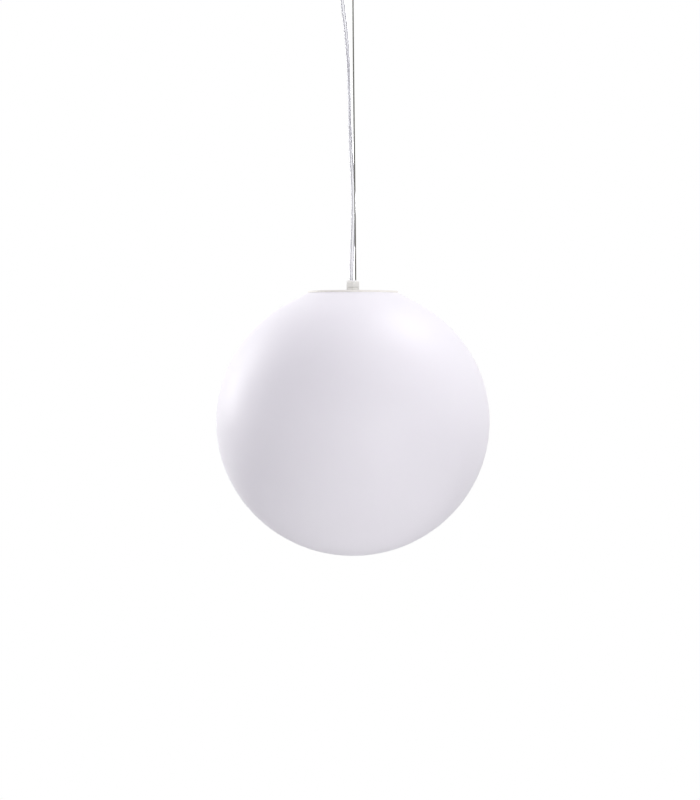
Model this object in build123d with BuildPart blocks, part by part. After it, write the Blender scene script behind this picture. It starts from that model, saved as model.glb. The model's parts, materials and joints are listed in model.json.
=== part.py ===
from build123d import *
from math import acos, atan2, cos, degrees, hypot, pi, radians, sin, sqrt, tan
import os

# An outdoor pendant light, in millimetres. The ceiling is the plane z = 0, the lamp hangs below it on
# the Z axis, and a viewer looks along +Y with +X to the right.

# Globe, one rotomoulded shell with a straight shoulder that runs up to its neck
globe_r = 200.0
globe_half_height = 196.4
globe_wall = 4.0
neck_r = 66.5
shoulder_lift = 2.8
neck_lip = 5.0
neck_flange_t = 6.0
rebate_depth = 1.2
gasket_land = 2.1
boss_r = 6.0
boss_edge = 0.2
boss_length = 9.0

# Cap, the cream disc that closes the neck
drop = 490.0
cap_inset = 0.7
cap_t = 3.0
spigot_wall = 2.0
spigot_depth = 6.0
spigot_clearance = 0.6
cap_edge_round = 0.6

# Countersunk screws through the cap into brass inserts
cap_screw_count = 4
cap_screw_start = 45.0
cap_screw_r = 2.0
cap_screw_head_r = 4.0
cap_screw_length = 14.0
cap_screw_key_r = 1.25
cap_screw_key_depth = 1.4
insert_r = 3.2
insert_length = 8.0
thread_clearance = 0.15
hole_clearance = 0.1

# Cable and steel wire, side by side through the gland
cable_d = 7.0
wire_d = 2.0
seal_edge = 0.4
bridge_overhang = 1.5
bridge_t = 2.0
sleeve_wall = 0.8
sleeve_gap = 0.2
sleeve_length = 9.0
wire_tail = 3.0

# Cable gland on the cap's centre
hexagon_turn = 30.0
gland_washer_t = 1.2
gland_flange_t = 3.8
gland_tail = 7.0
gland_neck_rise = 5.6
gland_neck_wall = 1.1
gland_thread_step = 0.3
gland_lead = 0.5
seal_cup_step = 0.7
seal_cup_depth = 5.0
seal_rise = 1.2
ring_t = 0.8
nut_gap = 0.4
nut_hex_h = 4.4
nut_crown_h = 5.6
nut_crown_land = 1.1
nut_roof_t = 2.2
nut_wall = 1.75
nut_clearance = 0.2
locknut_t = 5.0
locknut_wall = 2.0

# Strap under the cap that carries the lampholder
strap_w = 16.0
strap_t = 1.5
strap_half_span = 20.0
strap_drop = 42.0
strap_foot = 16.0
strap_bend_r = 2.5
post_r = 5.0
post_h = 8.0
post_edge = 1.0
strap_screw_r = 1.75
strap_screw_length = 6.0
strap_screw_gap = 1.0
pan_head_r = 3.3
pan_head_h = 2.2
pan_crown_r = 2.3

# Hollow nipple and its nut
nipple_r = 4.95
nipple_wall = 1.05
nipple_up = 5.0
nipple_length = 14.0
nipple_nut_wall = 2.05
nipple_nut_t = 3.0

# Lampholder for a 27 mm screw cap
holder_r = 20.5
holder_neck_wall = 3.55
holder_neck_h = 4.0
holder_shoulder_h = 8.0
holder_cap_h = 20.0
holder_body_h = 36.0
holder_wall = 2.2
holder_lip_draw = 1.4
holder_lip_h = 9.0
holder_grips = 12
grip_r = 1.6
grip_depth = 0.8
core_h = 6.0
core_round = 0.8
core_slot_l = 12.0
core_slot_w = 4.0
shell_clearance = 0.7
shell_wall = 0.6
shell_length = 23.0
contact_r = 2.4
contact_foot_r = 4.8
contact_leaf_t = 0.8
contact_h = 3.0
terminal_x = 9.5
terminal_l = 6.0
terminal_w = 8.0
terminal_h = 4.0
terminal_well = 2.5

# Bulb, 60 mm across, with its screw cap
bulb_gap = 0.3
pip_r = 4.8
pip_h = 1.6
pip_round = 1.1
pip_seat = 0.4
glass_h = 3.4
glass_top_r = 9.2
screw_cap_r = 13.1
screw_cap_wall = 0.5
screw_cap_h = 22.5
screw_cap_shoulder = 2.0
bulb_r = 30.0
bulb_length = 110.0
bulb_body_h = 34.0
bulb_body_plug = 6.0
bulb_body_ledge = 0.8
bulb_body_rim_r = 28.5
bulb_body_draft = 0.12
bulb_wall = 1.6

# Ceiling bracket and the stud that carries the wire holder
slot_spacing = 70.0
slot_length = 11.0
slot_w = 4.8
slot_edge = 2.5
bracket_w = 24.0
bracket_t = 2.0
bracket_flange_h = 6.0
stud_r = 4.0
stud_head_r = 6.5
stud_head_h = 1.0
stud_end_gap = 0.5
stud_nut_wall = 2.5
stud_nut_t = 4.5
metal_chamfer = 1.0

# Canopy, a spun cup over the bracket
canopy_depth = 30.0
canopy_wall = 1.4
canopy_round = 9.0
ceiling_seal_t = 1.5
ceiling_seal_w = 4.5
bracket_gap = 0.86

# Wire holder, a cup nut under the canopy that seats the ball on the wire's end
cup_wall = 2.85
cup_flange_step = 1.1
cup_flange_t = 2.0
cup_thread_depth = 4.5
cup_floor = 3.5
ball_r = 4.5
ball_clearance = 0.15
seat_mouth_room = 1.6
flare_room = 2.1
wire_socket = 1.5

# Cable entry beside the wire holder
entry_x = -16.0
grommet_bore_room = 0.9
grommet_mouth_room = 1.9
grommet_waist_wall = 1.0
grommet_flange_step = 1.4
boot_length = 20.0
boot_wall = 0.8
boot_bore_h = 5.0
grommet_inner_h = 1.5
cable_joint_drop = 3.6
stop_wall = 2.9
stop_h = 5.5
lug_l = 5.0
lug_w = 5.0
lug_root = 1.0
stop_screw_r = 2.0
stop_screw_head = 1.5
tail_rise = 13.5

# Terminal block on the bracket
block_l = 18.0
block_w = 18.0
block_h = 14.0
block_x = 19.0
block_round = 1.2
block_screw_r = 2.0
block_screw_h = 2.5
block_screw_slot = 0.8
block_well_depth = 4.0
pole_spacing = 9.0
core_d = 2.4

# Radii and places worked out from the sizes above
neck_rise = globe_half_height * sqrt(1 - (neck_r / globe_r) ** 2) + shoulder_lift
rebate_r = neck_r - neck_lip
cap_screw_circle_r = rebate_r - gasket_land - insert_r
neck_opening_r = cap_screw_circle_r - boss_r - boss_edge
cap_r = neck_r - cap_inset
spigot_r = neck_opening_r - spigot_clearance
sleeve_r = wire_d / 2 + sleeve_wall
seal_web = sleeve_wall + sleeve_gap
gland_bore_r = (cable_d + seal_web + wire_d) / 2 + seal_edge
cable_x = cable_d / 2 + seal_edge - gland_bore_r
wire_x = gland_bore_r - seal_edge - wire_d / 2
seal_cup_r = gland_bore_r + seal_cup_step
gland_neck_r = seal_cup_r + gland_neck_wall
gland_thread_r = gland_neck_r + gland_thread_step
gland_half_flats = gland_neck_r + nut_clearance + nut_wall
gland_corner_r = gland_half_flats / cos(radians(hexagon_turn))
nut_crown_r = gland_bore_r + nut_crown_land
locknut_half_flats = gland_thread_r + locknut_wall
bridge_r = gland_thread_r + bridge_overhang
post_x = strap_half_span + strap_foot - post_r - post_edge
holder_neck_r = nipple_r + holder_neck_wall
holder_inner_r = holder_r - holder_wall
holder_lip_r = holder_r - holder_lip_draw
shell_r = screw_cap_r + shell_clearance + shell_wall
ledge_r = shell_r + shell_clearance
bulb_body_top_r = screw_cap_r + bulb_body_ledge
bracket_length = slot_spacing + slot_length + 2 * slot_edge
canopy_r = hypot(bracket_length / 2, bracket_w / 2) + bracket_gap + ceiling_seal_w
stud_length = canopy_depth + cup_thread_depth - stud_end_gap
ball_drop = cup_thread_depth + ball_r
seat_r = ball_r + ball_clearance
cup_r = seat_r + cup_wall
cup_flange_r = cup_r + cup_flange_step
cup_length = ball_drop + ball_r + cup_floor
seat_mouth_r = wire_d / 2 + seat_mouth_room
flare_mouth_r = wire_d / 2 + flare_room
grommet_bore_r = cable_d / 2 + grommet_bore_room
grommet_mouth_r = cable_d / 2 + grommet_mouth_room
grommet_waist_r = grommet_bore_r + grommet_waist_wall
grommet_flange_r = grommet_waist_r + grommet_flange_step
stop_r = cable_d / 2 + stop_wall

# Levels worked out from the sizes above
cap_top = -drop
cap_under = cap_top - cap_t
globe_z = cap_under - neck_rise
rebate_z = cap_under - rebate_depth
flange_under = cap_under - neck_flange_t
washer_top = cap_top + gland_washer_t
flange_top = washer_top + gland_flange_t
gland_neck_top = flange_top + gland_neck_rise
seal_top = gland_neck_top + seal_rise
nut_bottom = flange_top + nut_gap
nut_hex_top = nut_bottom + nut_hex_h
gland_top = nut_hex_top + nut_crown_h
nut_roof = gland_top - nut_roof_t
gland_end = cap_under - gland_tail
bridge_under = gland_end - bridge_t
sleeve_under = bridge_under - sleeve_length
wire_end = sleeve_under - wire_tail
foot_top = cap_under - post_h
strap_base = cap_top - strap_drop
strap_floor = strap_base + strap_t
nipple_top = strap_floor + nipple_up
nipple_under = nipple_top - nipple_length
holder_joint = strap_base - holder_cap_h
holder_under = holder_joint - holder_body_h
core_under = holder_joint - core_h
contact_under = core_under - contact_h
bulb_top = contact_under - bulb_gap
canopy_under = -canopy_depth
canopy_floor = canopy_under + canopy_wall
ball_z = canopy_under - ball_drop
cup_under = canopy_under - cup_length
wire_top = ball_z + wire_socket
cable_top = canopy_under - cable_joint_drop
boot_under = canopy_under - boot_length
grommet_top = canopy_floor + grommet_inner_h
tail_top = cable_top + tail_rise

os.makedirs("parts", exist_ok=True)


def section(*outline):
    """A face in the XZ plane through (radius, height) corners, ready to revolve about Z."""
    with BuildSketch(Plane.XZ) as face:
        with BuildLine():
            Polyline(*outline, close=True)
        make_face()
    return face.sketch


def tangent_angle(r, rise, a, b):
    """Where on an ellipse, as an angle in degrees, a line from the outside point (r, rise) touches it."""
    reach = hypot(r / a, rise / b)
    return degrees(atan2(rise / b, r / a) - acos(1 / reach))


def route(name, points, diameter):
    """A round cord's tube along straight runs and tangent arcs, with its radii and volume printed."""
    corners = [Vector(*p) for p in points]
    radii = []
    for before, at, after in zip(corners, corners[1:], corners[2:]):
        turn = (at - before).get_angle(after - at)
        radii.append(0.45 * min((at - before).length, (after - at).length) / tan(radians(turn / 2)))
    with BuildPart() as tube:
        with BuildLine() as path:
            FilletPolyline(*corners, radius=radii)
        with BuildSketch(Plane(origin=path.line @ 0, z_dir=path.line % 0)):
            Circle(diameter / 2)
        sweep(path=path.line)
    length = path.wire().length
    share = tube.part.volume / (pi * (diameter / 2) ** 2 * length)
    print(f"{name}: {length:.1f} long, radii {[round(r) for r in radii]}, volume share {share:.4f}")
    return tube.part


# Globe: an ellipse below, a straight shoulder above, a flange with screw bosses inside the neck
inner_r = globe_r - globe_wall
inner_half_height = globe_half_height - globe_wall
touch = tangent_angle(neck_r, neck_rise, globe_r, globe_half_height)
lean = atan2(neck_rise - globe_half_height * sin(radians(touch)), globe_r * cos(radians(touch)) - neck_r)
flange_wall_r = neck_r + neck_flange_t / tan(lean) - globe_wall / sin(lean)
inner_touch = tangent_angle(flange_wall_r, neck_rise - neck_flange_t, inner_r, inner_half_height)
with BuildPart() as globe:
    with BuildSketch(Plane.XZ):
        with BuildLine():
            outside = EllipticalCenterArc(
                (0, globe_z), globe_r, globe_half_height, start_angle=-90, arc_size=90 + touch
            )
            Polyline(
                outside @ 1,
                (neck_r, cap_under),
                (rebate_r, cap_under),
                (rebate_r, rebate_z),
                (neck_opening_r, rebate_z),
                (neck_opening_r, flange_under),
                (flange_wall_r, flange_under),
            )
            inside = EllipticalCenterArc(
                (0, globe_z), inner_r, inner_half_height, start_angle=-90, arc_size=90 + inner_touch
            )
            Line(inside @ 1, (flange_wall_r, flange_under))
            Line(inside @ 0, outside @ 0)
        make_face()
    revolve(axis=Axis.Z)
    with BuildSketch(Plane.XY.offset(flange_under)):
        with PolarLocations(cap_screw_circle_r, cap_screw_count, start_angle=cap_screw_start):
            Circle(boss_r)
    extrude(amount=-boss_length)
    with BuildSketch(Plane.XY.offset(rebate_z)):
        with PolarLocations(cap_screw_circle_r, cap_screw_count, start_angle=cap_screw_start):
            Circle(insert_r)
    extrude(amount=-(insert_length + thread_clearance), mode=Mode.SUBTRACT)
    with BuildSketch(Plane.XY.offset(rebate_z)):
        with PolarLocations(cap_screw_circle_r, cap_screw_count, start_angle=cap_screw_start):
            Circle(cap_screw_r + thread_clearance)
    extrude(amount=-(cap_screw_length - cap_t + thread_clearance), mode=Mode.SUBTRACT)
globe.part.label = "globe"
export_step(globe.part, "parts/globe.step")

with BuildPart() as globe_inserts:
    with BuildSketch(Plane.XY.offset(rebate_z - thread_clearance)):
        with PolarLocations(cap_screw_circle_r, cap_screw_count, start_angle=cap_screw_start):
            Circle(insert_r)
            Circle(cap_screw_r + thread_clearance, mode=Mode.SUBTRACT)
    extrude(amount=-insert_length)
globe_inserts.part.label = "globe_inserts"
export_step(globe_inserts.part, "parts/globe_inserts.step")

with BuildPart() as neck_gasket:
    with BuildSketch(Plane.XY.offset(rebate_z)):
        Circle(rebate_r)
        Circle(neck_opening_r, mode=Mode.SUBTRACT)
        with PolarLocations(cap_screw_circle_r, cap_screw_count, start_angle=cap_screw_start):
            Circle(cap_screw_r + hole_clearance, mode=Mode.SUBTRACT)
    extrude(amount=rebate_depth)
neck_gasket.part.label = "neck_gasket"
export_step(neck_gasket.part, "parts/neck_gasket.step")

# Cap: the disc, the ring that centres it in the neck, and two posts for the lampholder's strap
with BuildPart() as cap_plate:
    with BuildSketch(Plane.XY.offset(cap_under)):
        Circle(cap_r)
    extrude(amount=cap_t)
    fillet(cap_plate.edges().group_by(Axis.Z)[-1], radius=cap_edge_round)
    with BuildSketch(Plane.XY.offset(cap_under)):
        Circle(spigot_r)
        Circle(spigot_r - spigot_wall, mode=Mode.SUBTRACT)
    extrude(amount=-spigot_depth)
    with BuildSketch(Plane.XY.offset(cap_under)):
        with Locations((post_x, 0), (-post_x, 0)):
            Circle(post_r)
    extrude(amount=-post_h)
    with BuildSketch(Plane.XY.offset(cap_under - post_h)):
        with Locations((post_x, 0), (-post_x, 0)):
            Circle(strap_screw_r + hole_clearance)
    extrude(amount=strap_screw_length + strap_screw_gap, mode=Mode.SUBTRACT)
    with Locations((0, 0, cap_top)):
        Hole(gland_thread_r + hole_clearance, depth=cap_t)
    with Locations((0, 0, cap_top)):
        with PolarLocations(cap_screw_circle_r, cap_screw_count, start_angle=cap_screw_start):
            CounterSinkHole(cap_screw_r + hole_clearance, cap_screw_head_r + hole_clearance, depth=cap_t)
cap_plate.part.label = "cap_plate"
export_step(cap_plate.part, "parts/cap_plate.step")

with BuildPart() as cap_screw:
    revolve(
        section(
            (0, 0),
            (cap_screw_head_r, 0),
            (cap_screw_r, -(cap_screw_head_r - cap_screw_r)),
            (cap_screw_r, -cap_screw_length),
            (0, -cap_screw_length),
        ),
        axis=Axis.Z,
    )
    with BuildSketch(Plane.XY):
        RegularPolygon(cap_screw_key_r, 6, major_radius=False)
    extrude(amount=-cap_screw_key_depth, mode=Mode.SUBTRACT)
with BuildPart() as cap_screws:
    with Locations((0, 0, cap_top)):
        with PolarLocations(cap_screw_circle_r, cap_screw_count, start_angle=cap_screw_start):
            add(cap_screw.part)
cap_screws.part.label = "cap_screws"
export_step(cap_screws.part, "parts/cap_screws.step")

# Gland: flat washer, hexagonal body, two-hole rubber seal, slip ring, domed nut and locknut
with BuildPart() as gland_washer:
    with BuildSketch(Plane.XY.offset(cap_top)):
        Circle(gland_half_flats)
        Circle(gland_thread_r + hole_clearance, mode=Mode.SUBTRACT)
    extrude(amount=gland_washer_t)
gland_washer.part.label = "gland_washer"
export_step(gland_washer.part, "parts/gland_washer.step")

with BuildPart() as gland_body:
    with BuildSketch(Plane.XY.offset(washer_top)):
        RegularPolygon(gland_half_flats, 6, major_radius=False, rotation=hexagon_turn)
    extrude(amount=gland_flange_t)
    revolve(
        section(
            (0, gland_end),
            (gland_thread_r - gland_lead, gland_end),
            (gland_thread_r, gland_end + gland_lead),
            (gland_thread_r, washer_top),
            (gland_neck_r, flange_top),
            (gland_neck_r, gland_neck_top - gland_lead),
            (gland_neck_r - gland_lead, gland_neck_top),
            (0, gland_neck_top),
        ),
        axis=Axis.Z,
    )
    with Locations((0, 0, gland_neck_top)):
        CounterBoreHole(gland_bore_r, seal_cup_r, seal_cup_depth)
gland_body.part.label = "gland_body"
export_step(gland_body.part, "parts/gland_body.step")

with BuildPart() as gland_seal:
    with BuildSketch(Plane.XY.offset(gland_neck_top - seal_cup_depth)):
        Circle(seal_cup_r)
        with Locations((cable_x, 0)):
            Circle(cable_d / 2, mode=Mode.SUBTRACT)
        with Locations((wire_x, 0)):
            Circle(wire_d / 2, mode=Mode.SUBTRACT)
    extrude(amount=seal_cup_depth + seal_rise)
gland_seal.part.label = "gland_seal"
export_step(gland_seal.part, "parts/gland_seal.step")

with BuildPart() as gland_slip_ring:
    with BuildSketch(Plane.XY.offset(seal_top)):
        Circle(gland_neck_r)
        Circle(gland_bore_r, mode=Mode.SUBTRACT)
    extrude(amount=ring_t)
gland_slip_ring.part.label = "gland_slip_ring"
export_step(gland_slip_ring.part, "parts/gland_slip_ring.step")

with BuildPart() as gland_nut:
    with BuildSketch(Plane.XY.offset(nut_bottom)):
        RegularPolygon(gland_half_flats, 6, major_radius=False, rotation=hexagon_turn)
    extrude(amount=gland_top - nut_bottom)
    with BuildSketch(Plane.XZ):
        with BuildLine():
            Polyline(
                (0, gland_top),
                (0, nut_bottom),
                (gland_corner_r, nut_bottom),
                (gland_corner_r, nut_hex_top),
            )
            crown = EllipticalCenterArc(
                (nut_crown_r, nut_hex_top), gland_corner_r - nut_crown_r, nut_crown_h, arc_size=90
            )
            Line(crown @ 1, (0, gland_top))
        make_face()
    revolve(axis=Axis.Z, mode=Mode.INTERSECT)
    with BuildSketch(Plane.XY.offset(nut_bottom)):
        Circle(gland_neck_r + nut_clearance)
    extrude(amount=nut_roof - nut_bottom, mode=Mode.SUBTRACT)
    with BuildSketch(Plane.XY.offset(nut_bottom)):
        Circle(gland_bore_r)
    extrude(amount=gland_top - nut_bottom, mode=Mode.SUBTRACT)
gland_nut.part.label = "gland_nut"
export_step(gland_nut.part, "parts/gland_nut.step")

with BuildPart() as gland_locknut:
    with BuildSketch(Plane.XY.offset(cap_under)):
        RegularPolygon(locknut_half_flats, 6, major_radius=False, rotation=hexagon_turn)
        Circle(gland_thread_r, mode=Mode.SUBTRACT)
    extrude(amount=-locknut_t)
gland_locknut.part.label = "gland_locknut"
export_step(gland_locknut.part, "parts/gland_locknut.step")

# Wire's end: a bridge plate under the gland takes the pull of a sleeve swaged on the wire
with BuildPart() as wire_bridge:
    with BuildSketch(Plane.XY.offset(gland_end)):
        Circle(bridge_r)
        with Locations((cable_x, 0)):
            Circle(cable_d / 2 + hole_clearance, mode=Mode.SUBTRACT)
        with Locations((wire_x, 0)):
            Circle(wire_d / 2 + hole_clearance, mode=Mode.SUBTRACT)
    extrude(amount=-bridge_t)
wire_bridge.part.label = "wire_bridge"
export_step(wire_bridge.part, "parts/wire_bridge.step")

with BuildPart() as wire_stop:
    with BuildSketch(Plane.XY.offset(gland_top)):
        with Locations((wire_x, 0)):
            Circle(wire_d / 2)
    extrude(amount=wire_end - gland_top)
    with BuildSketch(Plane.XY.offset(bridge_under)):
        with Locations((wire_x, 0)):
            Circle(sleeve_r)
    extrude(amount=-sleeve_length)
wire_stop.part.label = "wire_stop"
export_step(wire_stop.part, "parts/wire_stop.step")

# Strap: a bent strip whose feet are screwed to the cap's posts, astride the gland
with BuildPart() as holder_strap:
    with BuildSketch(Plane.XZ):
        with BuildLine():
            Polyline(
                (strap_half_span + strap_foot, foot_top),
                (strap_half_span - strap_t, foot_top),
                (strap_half_span - strap_t, strap_floor),
                (-strap_half_span + strap_t, strap_floor),
                (-strap_half_span + strap_t, foot_top),
                (-strap_half_span - strap_foot, foot_top),
                (-strap_half_span - strap_foot, foot_top - strap_t),
                (-strap_half_span, foot_top - strap_t),
                (-strap_half_span, strap_base),
                (strap_half_span, strap_base),
                (strap_half_span, foot_top - strap_t),
                (strap_half_span + strap_foot, foot_top - strap_t),
                close=True,
            )
        make_face()
    extrude(amount=strap_w / 2, both=True)
    bends = holder_strap.edges().filter_by(Axis.Y)
    outer_bends = bends.filter_by(lambda e: abs(abs(e.center().X) - strap_half_span) < 0.01).filter_by(
        lambda e: abs(e.center().Z - strap_base) < 0.01
    )
    fillet(outer_bends, radius=strap_bend_r)
    with Locations((0, 0, strap_floor)):
        Hole(nipple_r + hole_clearance, depth=strap_t)
    with Locations((post_x, 0, foot_top), (-post_x, 0, foot_top)):
        Hole(strap_screw_r + hole_clearance, depth=strap_t)
holder_strap.part.label = "holder_strap"
export_step(holder_strap.part, "parts/holder_strap.step")

with BuildPart() as strap_screw:
    revolve(
        section(
            (0, strap_t + strap_screw_length),
            (strap_screw_r, strap_t + strap_screw_length),
            (strap_screw_r, 0),
            (pan_head_r, 0),
            (pan_head_r, -pan_head_h / 2),
            (pan_crown_r, -pan_head_h),
            (0, -pan_head_h),
        ),
        axis=Axis.Z,
    )
with BuildPart() as strap_screws:
    with Locations((post_x, 0, foot_top - strap_t), (-post_x, 0, foot_top - strap_t)):
        add(strap_screw.part)
strap_screws.part.label = "strap_screws"
export_step(strap_screws.part, "parts/strap_screws.step")

# Nipple: a hollow threaded tube that joins the strap and the lampholder, with its nut
with BuildPart() as holder_nipple:
    with BuildSketch(Plane.XY.offset(nipple_top)):
        Circle(nipple_r)
        Circle(nipple_r - nipple_wall, mode=Mode.SUBTRACT)
    extrude(amount=-nipple_length)
holder_nipple.part.label = "holder_nipple"
export_step(holder_nipple.part, "parts/holder_nipple.step")

with BuildPart() as nipple_nut:
    with BuildSketch(Plane.XY.offset(strap_floor)):
        RegularPolygon(nipple_r + nipple_nut_wall, 6, major_radius=False)
        Circle(nipple_r, mode=Mode.SUBTRACT)
    extrude(amount=nipple_nut_t)
nipple_nut.part.label = "nipple_nut"
export_step(nipple_nut.part, "parts/nipple_nut.step")

# Lampholder: domed top, skirted body with grip flutes, insulating core, screw shell and contact
neck_bottom = strap_base - holder_neck_h
shoulder_bottom = neck_bottom - holder_shoulder_h
with BuildPart() as holder_cap:
    revolve(
        section(
            (nipple_r, strap_base),
            (holder_neck_r, strap_base),
            (holder_neck_r, neck_bottom),
            (holder_r, shoulder_bottom),
            (holder_r, holder_joint),
            (holder_inner_r, holder_joint),
            (holder_inner_r, shoulder_bottom),
            (holder_neck_r, neck_bottom - holder_wall),
            (nipple_r, neck_bottom - holder_wall),
        ),
        axis=Axis.Z,
    )
holder_cap.part.label = "holder_cap"
export_step(holder_cap.part, "parts/holder_cap.step")

ledge_under = core_under - holder_wall
with BuildPart() as holder_body:
    revolve(
        section(
            (holder_inner_r, holder_joint),
            (holder_r, holder_joint),
            (holder_r, holder_under + holder_lip_h),
            (holder_lip_r, holder_under),
            (holder_lip_r - holder_wall, holder_under),
            (holder_lip_r - holder_wall, ledge_under),
            (ledge_r, ledge_under),
            (ledge_r, core_under),
            (holder_inner_r, core_under),
        ),
        axis=Axis.Z,
    )
    with BuildSketch(Plane.XY.offset(holder_joint - holder_wall)):
        with PolarLocations(holder_r + grip_r - grip_depth, holder_grips):
            Circle(grip_r)
    extrude(amount=-(holder_body_h - holder_lip_h - holder_wall), mode=Mode.SUBTRACT)
holder_body.part.label = "holder_body"
export_step(holder_body.part, "parts/holder_body.step")

with BuildPart() as holder_core:
    with BuildSketch(Plane.XY.offset(holder_joint)):
        Circle(holder_inner_r - hole_clearance)
        with Locations((0, terminal_x), (0, -terminal_x)):
            SlotOverall(core_slot_l, core_slot_w, mode=Mode.SUBTRACT)
    extrude(amount=-core_h)
    fillet(holder_core.edges().group_by(Axis.Z)[-1].filter_by(GeomType.CIRCLE), radius=core_round)
holder_core.part.label = "holder_core"
export_step(holder_core.part, "parts/holder_core.step")

with BuildPart() as screw_shell:
    with BuildSketch(Plane.XY.offset(core_under)):
        Circle(shell_r)
        Circle(shell_r - shell_wall, mode=Mode.SUBTRACT)
    extrude(amount=-shell_length)
screw_shell.part.label = "screw_shell"
export_step(screw_shell.part, "parts/screw_shell.step")

with BuildPart() as centre_contact:
    revolve(
        section(
            (0, core_under),
            (contact_foot_r, core_under),
            (contact_foot_r, core_under - contact_leaf_t),
            (contact_r, core_under - 2 * contact_leaf_t),
            (contact_r, contact_under + contact_leaf_t),
            (contact_r - contact_leaf_t, contact_under),
            (0, contact_under),
        ),
        axis=Axis.Z,
    )
centre_contact.part.label = "centre_contact"
export_step(centre_contact.part, "parts/centre_contact.step")

terminal_top = holder_joint + terminal_h
with BuildPart() as holder_terminals:
    with BuildSketch(Plane.XY.offset(holder_joint)):
        with Locations((terminal_x, 0), (-terminal_x, 0)):
            Rectangle(terminal_l, terminal_w)
    extrude(amount=terminal_h)
    with Locations((terminal_x, 0, terminal_top), (-terminal_x, 0, terminal_top)):
        Hole(core_d / 2, depth=terminal_well)
holder_terminals.part.label = "holder_terminals"
export_step(holder_terminals.part, "parts/holder_terminals.step")

# Bulb: contact, glass insulator, screw cap, body and opal envelope
pip_under = bulb_top - pip_h
glass_under = pip_under - glass_h
shoulder_under = glass_under - screw_cap_shoulder
screw_cap_under = glass_under - screw_cap_h
body_under = screw_cap_under - bulb_body_h
bulb_under = bulb_top - bulb_length
with BuildPart() as bulb_contact:
    with BuildSketch(Plane.XY.offset(pip_under)):
        Circle(pip_r)
    extrude(amount=pip_h)
    fillet(bulb_contact.edges().group_by(Axis.Z)[-1], radius=pip_round)
bulb_contact.part.label = "bulb_contact"
export_step(bulb_contact.part, "parts/bulb_contact.step")

with BuildPart() as bulb_insulator:
    revolve(
        section(
            (0, pip_under),
            (pip_r + pip_seat, pip_under),
            (glass_top_r, glass_under),
            (0, glass_under),
        ),
        axis=Axis.Z,
    )
bulb_insulator.part.label = "bulb_insulator"
export_step(bulb_insulator.part, "parts/bulb_insulator.step")

with BuildPart() as bulb_screw_cap:
    revolve(
        section(
            (0, glass_under),
            (glass_top_r, glass_under),
            (screw_cap_r, shoulder_under),
            (screw_cap_r, screw_cap_under),
            (screw_cap_r - screw_cap_wall, screw_cap_under),
            (screw_cap_r - screw_cap_wall, shoulder_under - screw_cap_wall),
            (0, shoulder_under - screw_cap_wall),
        ),
        axis=Axis.Z,
    )
bulb_screw_cap.part.label = "bulb_screw_cap"
export_step(bulb_screw_cap.part, "parts/bulb_screw_cap.step")

with BuildPart() as bulb_body:
    with BuildSketch(Plane.XZ):
        with BuildLine():
            Polyline(
                (0, body_under + bulb_wall),
                (0, screw_cap_under + bulb_body_plug),
                (screw_cap_r - screw_cap_wall, screw_cap_under + bulb_body_plug),
                (screw_cap_r - screw_cap_wall, screw_cap_under),
                (bulb_body_top_r, screw_cap_under),
            )
            flank = TangentArc(
                (bulb_body_top_r, screw_cap_under),
                (bulb_body_rim_r, body_under),
                tangent=(bulb_body_draft, -1),
            )
            Polyline(
                flank @ 1,
                (bulb_body_rim_r - bulb_wall, body_under),
                (0, body_under + bulb_wall),
            )
        make_face()
    revolve(axis=Axis.Z)
bulb_body.part.label = "bulb_body"
export_step(bulb_body.part, "parts/bulb_body.step")

dome_h = body_under - bulb_under
dome_rise = sqrt(1 - (bulb_body_rim_r / bulb_r) ** 2)
dome_half = dome_h / (1 + dome_rise)
dome_sweep = 90 + degrees(atan2(dome_rise, bulb_body_rim_r / bulb_r))
with BuildPart() as bulb_envelope:
    with BuildSketch(Plane.XZ):
        with BuildLine():
            dome = EllipticalCenterArc(
                (0, bulb_under + dome_half),
                bulb_r,
                dome_half,
                start_angle=-90,
                arc_size=dome_sweep,
            )
            liner = EllipticalCenterArc(
                (0, bulb_under + dome_half),
                bulb_r - bulb_wall,
                dome_half - bulb_wall,
                start_angle=-90,
                arc_size=dome_sweep,
            )
            Line(dome @ 1, liner @ 1)
            Line(dome @ 0, liner @ 0)
        make_face()
    revolve(axis=Axis.Z)
bulb_envelope.part.label = "bulb_envelope"
export_step(bulb_envelope.part, "parts/bulb_envelope.step")

# Ceiling bracket: a channel with two screw slots and a stud pressed in flush
with BuildPart() as ceiling_bracket:
    with BuildSketch(Plane.YZ):
        with BuildLine():
            Polyline(
                (-bracket_w / 2, 0),
                (bracket_w / 2, 0),
                (bracket_w / 2, -bracket_t - bracket_flange_h),
                (bracket_w / 2 - bracket_t, -bracket_t - bracket_flange_h),
                (bracket_w / 2 - bracket_t, -bracket_t),
                (-bracket_w / 2 + bracket_t, -bracket_t),
                (-bracket_w / 2 + bracket_t, -bracket_t - bracket_flange_h),
                (-bracket_w / 2, -bracket_t - bracket_flange_h),
                close=True,
            )
        make_face()
    extrude(amount=bracket_length / 2, both=True)
    with BuildSketch(Plane.XY):
        with Locations((slot_spacing / 2, 0), (-slot_spacing / 2, 0)):
            SlotOverall(slot_length, slot_w)
    extrude(amount=-bracket_t, mode=Mode.SUBTRACT)
    with Locations((0, 0, 0)):
        CounterBoreHole(stud_r, stud_head_r, stud_head_h, depth=bracket_t)
ceiling_bracket.part.label = "ceiling_bracket"
export_step(ceiling_bracket.part, "parts/ceiling_bracket.step")

with BuildPart() as bracket_stud:
    revolve(
        section(
            (0, 0),
            (stud_head_r, 0),
            (stud_head_r, -stud_head_h),
            (stud_r, -stud_head_h),
            (stud_r, metal_chamfer - stud_length),
            (stud_r - metal_chamfer, -stud_length),
            (0, -stud_length),
        ),
        axis=Axis.Z,
    )
bracket_stud.part.label = "bracket_stud"
export_step(bracket_stud.part, "parts/bracket_stud.step")

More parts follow.
